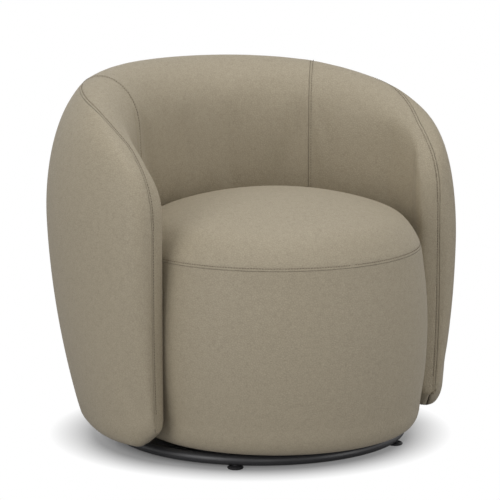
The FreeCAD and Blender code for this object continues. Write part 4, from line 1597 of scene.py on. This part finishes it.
@dataclass(frozen=True)
class Woven(Finish):
    """Cloth with threads that cross at right angles in the level plane."""

    threads_per_metre: float = 900.0
    turn: float = 6.283

    def relief(self, net: Net, shader: bpy.types.Node, place: bpy.types.NodeSocket,
               colour: bpy.types.NodeSocket, rough: bpy.types.NodeSocket) -> None:
        """The product of two sine waves for the weave, with fibre noise over it.

        Args:
            net: the material's net.
            shader: its shader.
            place: socket of the place on the piece.
            colour: socket of the mottled colour.
            rough: socket of the mottled roughness.
        """
        split = net.add("ShaderNodeSeparateXYZ")
        net.link(place, split.inputs[0])
        turns = self.threads_per_metre * self.turn
        waves = [net.maths("SINE", net.maths("MULTIPLY", split.outputs[axis], turns), 0.0)
                 for axis in ("X", "Y")]
        weave = net.maths("MULTIPLY", waves[0], waves[1])
        fibre = net.add("ShaderNodeTexNoise", in_Scale=700.0, in_Detail=3.0)
        net.link(place, fibre.inputs["Vector"])
        net.link(net.blend(net.ramp(weave, -1.0, 1.0, 0.35, 0.0), colour, self.dark),
                 shader.inputs["Base Color"])
        net.link(rough, shader.inputs["Roughness"])
        self.bump(net, shader, net.maths("ADD", weave, fibre.outputs["Fac"]), 0.35, 0.0002)


@dataclass(frozen=True)
class PowderCoat(Finish):
    """Baked powder paint: an even fine orange peel on satin colour."""

    def relief(self, net: Net, shader: bpy.types.Node, place: bpy.types.NodeSocket,
               colour: bpy.types.NodeSocket, rough: bpy.types.NodeSocket) -> None:
        """Rounded cells half a millimetre across, very shallow.

        Args:
            net: the material's net.
            shader: its shader.
            place: socket of the place on the piece.
            colour: socket of the mottled colour.
            rough: socket of the mottled roughness.
        """
        net.link(colour, shader.inputs["Base Color"])
        net.link(rough, shader.inputs["Roughness"])
        peel = net.add("ShaderNodeTexVoronoi", feature="SMOOTH_F1", in_Scale=1400.0, in_Smoothness=1.0)
        net.link(place, peel.inputs["Vector"])
        self.bump(net, shader, peel.outputs["Distance"], 0.18, 0.00008)


@dataclass(frozen=True)
class BrushedMetal(Finish):
    """Bare or plated metal with fine scratches along one direction."""

    stretch: tuple[float, float, float] = (40.0, 2600.0, 2600.0)

    def relief(self, net: Net, shader: bpy.types.Node, place: bpy.types.NodeSocket,
               colour: bpy.types.NodeSocket, rough: bpy.types.NodeSocket) -> None:
        """Noise stretched into scratches, in the relief and in the roughness.

        Args:
            net: the material's net.
            shader: its shader.
            place: socket of the place on the piece.
            colour: socket of the mottled colour.
            rough: socket of the mottled roughness.
        """
        mapping = net.add("ShaderNodeMapping")
        mapping.inputs["Scale"].default_value = self.stretch
        net.link(place, mapping.inputs["Vector"])
        scratch = net.add("ShaderNodeTexNoise", in_Scale=1.0, in_Detail=2.0)
        net.link(mapping.outputs["Vector"], scratch.inputs["Vector"])
        net.link(colour, shader.inputs["Base Color"])
        net.link(net.maths("ADD", rough, net.ramp(scratch.outputs["Fac"], 0.3, 0.7, -0.06, 0.06)),
                 shader.inputs["Roughness"])
        self.bump(net, shader, scratch.outputs["Fac"], 0.12, 0.00005)


@dataclass(frozen=True)
class Palette:
    """All the finishes of the chair."""

    leather: Finish = Leather("taupe_leather", (171, 160, 138), (163, 152, 131), 0.58, specular=0.35,
                              mottle_scale=110.0, rough_spread=0.05)
    thread: Finish = Finish("taupe_thread", (112, 100, 84), (96, 86, 70), 0.75, specular=0.25,
                            mottle_scale=200.0)
    powder_black: Finish = PowderCoat("satin_black_steel", (57, 57, 59), (50, 50, 52), 0.38, specular=0.5)
    zinc: Finish = BrushedMetal("zinc_plated_steel", (176, 178, 180), (150, 152, 156), 0.34, metallic=1.0)
    spring: Finish = BrushedMetal("oiled_spring_steel", (92, 92, 94), (66, 64, 62), 0.38, metallic=1.0)
    nylon: Finish = Finish("white_nylon", (214, 212, 204), (204, 202, 192), 0.45, mottle_scale=40.0)
    glide: Finish = Finish("black_glide_plastic", (40, 40, 42), (33, 33, 35), 0.5, mottle_scale=60.0)
    plywood: Finish = Timber("birch_plywood", (206, 178, 136), (160, 126, 86), 0.6, ply_thickness=0.0015,
                             stretch=(8.0, 90.0, 90.0))
    hardwood: Finish = Timber("beech_wood", (196, 160, 116), (150, 112, 74), 0.55, stretch=(80.0, 80.0, 7.0))
    board: Finish = Timber("bent_fibreboard", (150, 122, 90), (118, 92, 64), 0.8,
                           stretch=(160.0, 160.0, 160.0))
    felt: Finish = Woven("needled_felt", (120, 118, 114), (92, 90, 88), 0.95, threads_per_metre=260.0)
    cloth: Finish = Woven("black_underside_cloth", (30, 30, 31), (18, 18, 19), 0.9)


@dataclass
class CarriedNodes:
    """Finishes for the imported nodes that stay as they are."""

    palette: Palette

    def table(self) -> dict[str, Finish]:
        """Finish of the nodes whose names begin with each word.

        Returns:
            Start of the names, and the finish.
        """
        palette = self.palette
        return {
            "base_ring": palette.powder_black, "cross_bar": palette.powder_black,
            "centre_plate": palette.powder_black, "bearing_plate": palette.zinc,
            "bearing_rivet": palette.zinc, "bearing_balls": palette.spring, "ball_cage": palette.nylon,
            "lower_plate": palette.zinc, "upper_plate": palette.zinc, "joint_bolts": palette.zinc,
            "joint_nuts": palette.zinc, "glide_inserts": palette.glide, "glide_pad": palette.glide,
            "glide_stud": palette.zinc, "drum_bottom_board": palette.plywood, "drum_posts": palette.hardwood,
            "seat_rail": palette.plywood, "drum_wrap_board": palette.board, "seat_springs": palette.spring,
            "spring_clips": palette.zinc, "shell_outer_boarding": palette.board,
            "shell_inner_boarding": palette.board, "shell_bottom_board": palette.plywood,
            "shell_middle_rail": palette.plywood, "shell_upper_rail": palette.plywood,
            "joint_battens": palette.hardwood, "back_ribs": palette.plywood, "arm_ribs": palette.plywood}

    def dress(self) -> int:
        """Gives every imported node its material: leather where the table doesn't name it.

        Returns:
            How many nodes there are.
        """
        table = self.table()
        for name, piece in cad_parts.items():
            finish = next((found for start, found in table.items() if name.startswith(start)),
                          self.palette.leather)
            piece.data.materials.clear()
            piece.data.materials.append(finish.material())
        return len(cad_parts)


@dataclass(frozen=True)
class Lamp:
    """A square soft lamp: where it hangs, what it faces, its width and its power in watts."""

    name: str
    place: tuple[float, float, float]
    target: tuple[float, float, float]
    size: float
    power: float

    def build(self) -> None:
        """Adds the lamp to the scene."""
        data = bpy.data.lights.new(self.name, "AREA")
        data.shape = "SQUARE"
        data.size = self.size
        data.energy = self.power
        lamp = bpy.data.objects.new(self.name, data)
        lamp.location = self.place
        facing = Vector(self.target) - Vector(self.place)
        lamp.rotation_euler = facing.to_track_quat("-Z", "Y").to_euler()
        bpy.context.scene.collection.objects.link(lamp)


@dataclass
class Studio:
    """The pale floor, the soft lights and the camera at the photograph's angle."""

    azimuth: float = math.radians(-31.0)
    distance: float = 5.52
    height: float = 1.377
    pitch: float = math.radians(10.48)
    lens_pixels: float = 2974.0
    frame_pixels: float = 500.0
    side_shift: float = -9.3
    sensor_width: float = 36.0
    clip_end: float = 200.0
    ambient: float = 0.42
    floor_half: float = 16.0
    floor_lines: int = 9
    floor_z: float = -0.0006
    floor_colour: tuple[float, float, float, float] = (0.46, 0.46, 0.47, 1.0)
    floor_rough: float = 0.32
    floor_specular: float = 0.25
    near_fade: tuple[float, float, float] = (0.24, 0.29, 0.2)
    far_fade: tuple[float, float, float] = (0.30, 0.385, 0.8)
    lamps: tuple[Lamp, ...] = (
        Lamp("top_softbox", (0.0, -0.4, 3.2), (0.0, 0.0, 0.3), 2.6, 45.0),
        Lamp("left_softbox", (-3.4, -1.1, 1.2), (0.0, 0.0, 0.4), 2.0, 41.0),
        Lamp("right_softbox", (2.4, -3.6, 1.0), (0.0, 0.0, 0.4), 2.0, 32.0),
        Lamp("front_softbox", (-1.9, -3.8, 0.6), (0.0, 0.0, 0.2), 1.4, 6.0))

    def camera(self) -> None:
        """Adds the camera and makes it the scene's own."""
        data = bpy.data.cameras.new("camera")
        data.sensor_fit = "HORIZONTAL"
        data.sensor_width = self.sensor_width
        data.lens = self.sensor_width * self.lens_pixels / self.frame_pixels
        data.shift_x = self.side_shift / self.frame_pixels
        data.clip_end = self.clip_end
        camera = bpy.data.objects.new("camera", data)
        camera.location = (self.distance * math.sin(self.azimuth),
                           AXIS_Y - self.distance * math.cos(self.azimuth), self.height)
        camera.rotation_euler = (QUARTER - self.pitch, 0.0, self.azimuth)
        bpy.context.scene.collection.objects.link(camera)
        bpy.context.scene.camera = camera

    def floor(self) -> None:
        """A wide level floor, white to the camera far from the chair and lit grey near it.

        The floor is a square grid. Its shader mixes the lit grey, which carries the chair's real shadow,
        with plain white for camera rays, in two steps by distance from the chair's axis that end a
        little within the chair's outline, so the grey ring round the chair is partly painted shadow.
        """
        line = np.linspace(-self.floor_half, self.floor_half, self.floor_lines)
        x, y = np.meshgrid(line, line)
        points = np.stack([x, y, np.full_like(x, self.floor_z)], axis=-1)
        piece = Grid(points, Facing.FRONT).mesh("floor")
        material = bpy.data.materials.new("pale_floor")
        material.use_nodes = True
        net = Net(material.node_tree)
        output = net.add("ShaderNodeOutputMaterial")
        lit = net.add("ShaderNodeBsdfPrincipled", in_Roughness=self.floor_rough,
                      in_Specular_IOR_Level=self.floor_specular)
        lit.inputs["Base Color"].default_value = self.floor_colour
        white = net.add("ShaderNodeEmission", in_Strength=1.0)
        place = net.add("ShaderNodeTexCoord").outputs["Object"]
        reach = net.add("ShaderNodeVectorMath", operation="LENGTH")
        net.link(place, reach.inputs[0])
        # Painted shadow: the lit grey shows by distance from the chair's axis, not only where light is
        # blocked.
        near, far = (net.ramp(reach.outputs["Value"], low, high, 0.0, share)
                     for low, high, share in (self.near_fade, self.far_fade))
        fade = net.maths("ADD", near, far)
        rays = net.add("ShaderNodeLightPath")
        seen = net.maths("MAXIMUM", rays.outputs["Is Camera Ray"], rays.outputs["Is Transmission Ray"])
        mix = net.add("ShaderNodeMixShader")
        net.link(net.maths("MULTIPLY", fade, seen), mix.inputs[0])
        net.link(lit.outputs[0], mix.inputs[1])
        net.link(white.outputs[0], mix.inputs[2])
        net.link(mix.outputs[0], output.inputs["Surface"])
        piece.data.materials.append(material)

    def world(self) -> None:
        """White to the camera and in reflections, and a softer grey as light."""
        world = bpy.data.worlds.new("studio")
        world.use_nodes = True
        net = Net(world.node_tree)
        output = net.add("ShaderNodeOutputWorld")
        shade = net.add("ShaderNodeBackground")
        rays = net.add("ShaderNodeLightPath")
        passing = net.maths("MAXIMUM", rays.outputs["Is Glossy Ray"], rays.outputs["Is Transmission Ray"])
        seen = net.maths("MAXIMUM", rays.outputs["Is Camera Ray"], passing)
        net.link(net.ramp(seen, 0.0, 1.0, self.ambient, 1.0), shade.inputs["Strength"])
        net.link(shade.outputs[0], output.inputs["Surface"])
        bpy.context.scene.world = world

    def build(self) -> None:
        """Sets the whole stage up."""
        self.camera()
        self.floor()
        self.world()
        for lamp in self.lamps:
            lamp.build()
        bpy.context.scene.view_settings.view_transform = "Standard"


def settle(piece: bpy.types.Object, finish: Finish, replaced: tuple[str, ...] = ()) -> None:
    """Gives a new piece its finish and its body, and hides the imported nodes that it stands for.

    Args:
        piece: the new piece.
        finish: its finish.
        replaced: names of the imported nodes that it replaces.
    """
    piece.data.materials.clear()
    piece.data.materials.append(finish.material())
    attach(piece, Body.CHAIR.value)
    if replaced:
        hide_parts(*replaced)
    log.info("%s: %d vertices", piece.name, len(piece.data.vertices))


def main() -> None:
    """Builds the stage, the shell, the seat and the stitching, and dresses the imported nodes."""
    logging.basicConfig(level=logging.INFO, format="%(name)s: %(message)s")
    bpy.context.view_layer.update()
    palette = Palette()
    Studio().build()
    log.info("packed nodes dressed: %d", CarriedNodes(palette).dress())
    shell = Shell()
    outer, back, left, right = shell.build()
    shell_foam = tuple(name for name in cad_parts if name.startswith("shell_foam"))
    settle(outer, palette.leather, ("shell_outer_cover", *shell_foam))
    settle(back, palette.leather, ("inside_back_cover",))
    settle(left, palette.leather, ("arm_cover_left",))
    settle(right, palette.leather, ("arm_cover_right",))
    seat = Seat()
    top, side = seat.build()
    settle(top, palette.leather, ("seat_top_cover", "seat_foam"))
    settle(side, palette.leather, ("drum_side_cover", "drum_band_foam"))
    stitching = Stitching()
    crest = stitching.piece("shell_topstitch", shell.topstitch_paths())
    settle(crest, palette.thread)
    ring = stitching.piece("seat_topstitch", [seat.topstitch_path()])
    settle(ring, palette.thread)
    felt = seat.felt()
    settle(felt, palette.felt, ("spring_felt",))
    drum_cloth = seat.underside()
    settle(drum_cloth, palette.cloth, ("drum_dust_cover",))
    shell_cloth = shell.underside()
    settle(shell_cloth, palette.cloth, ("shell_dust_cover",))
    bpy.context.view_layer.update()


if __name__ == "__main__":
    main()
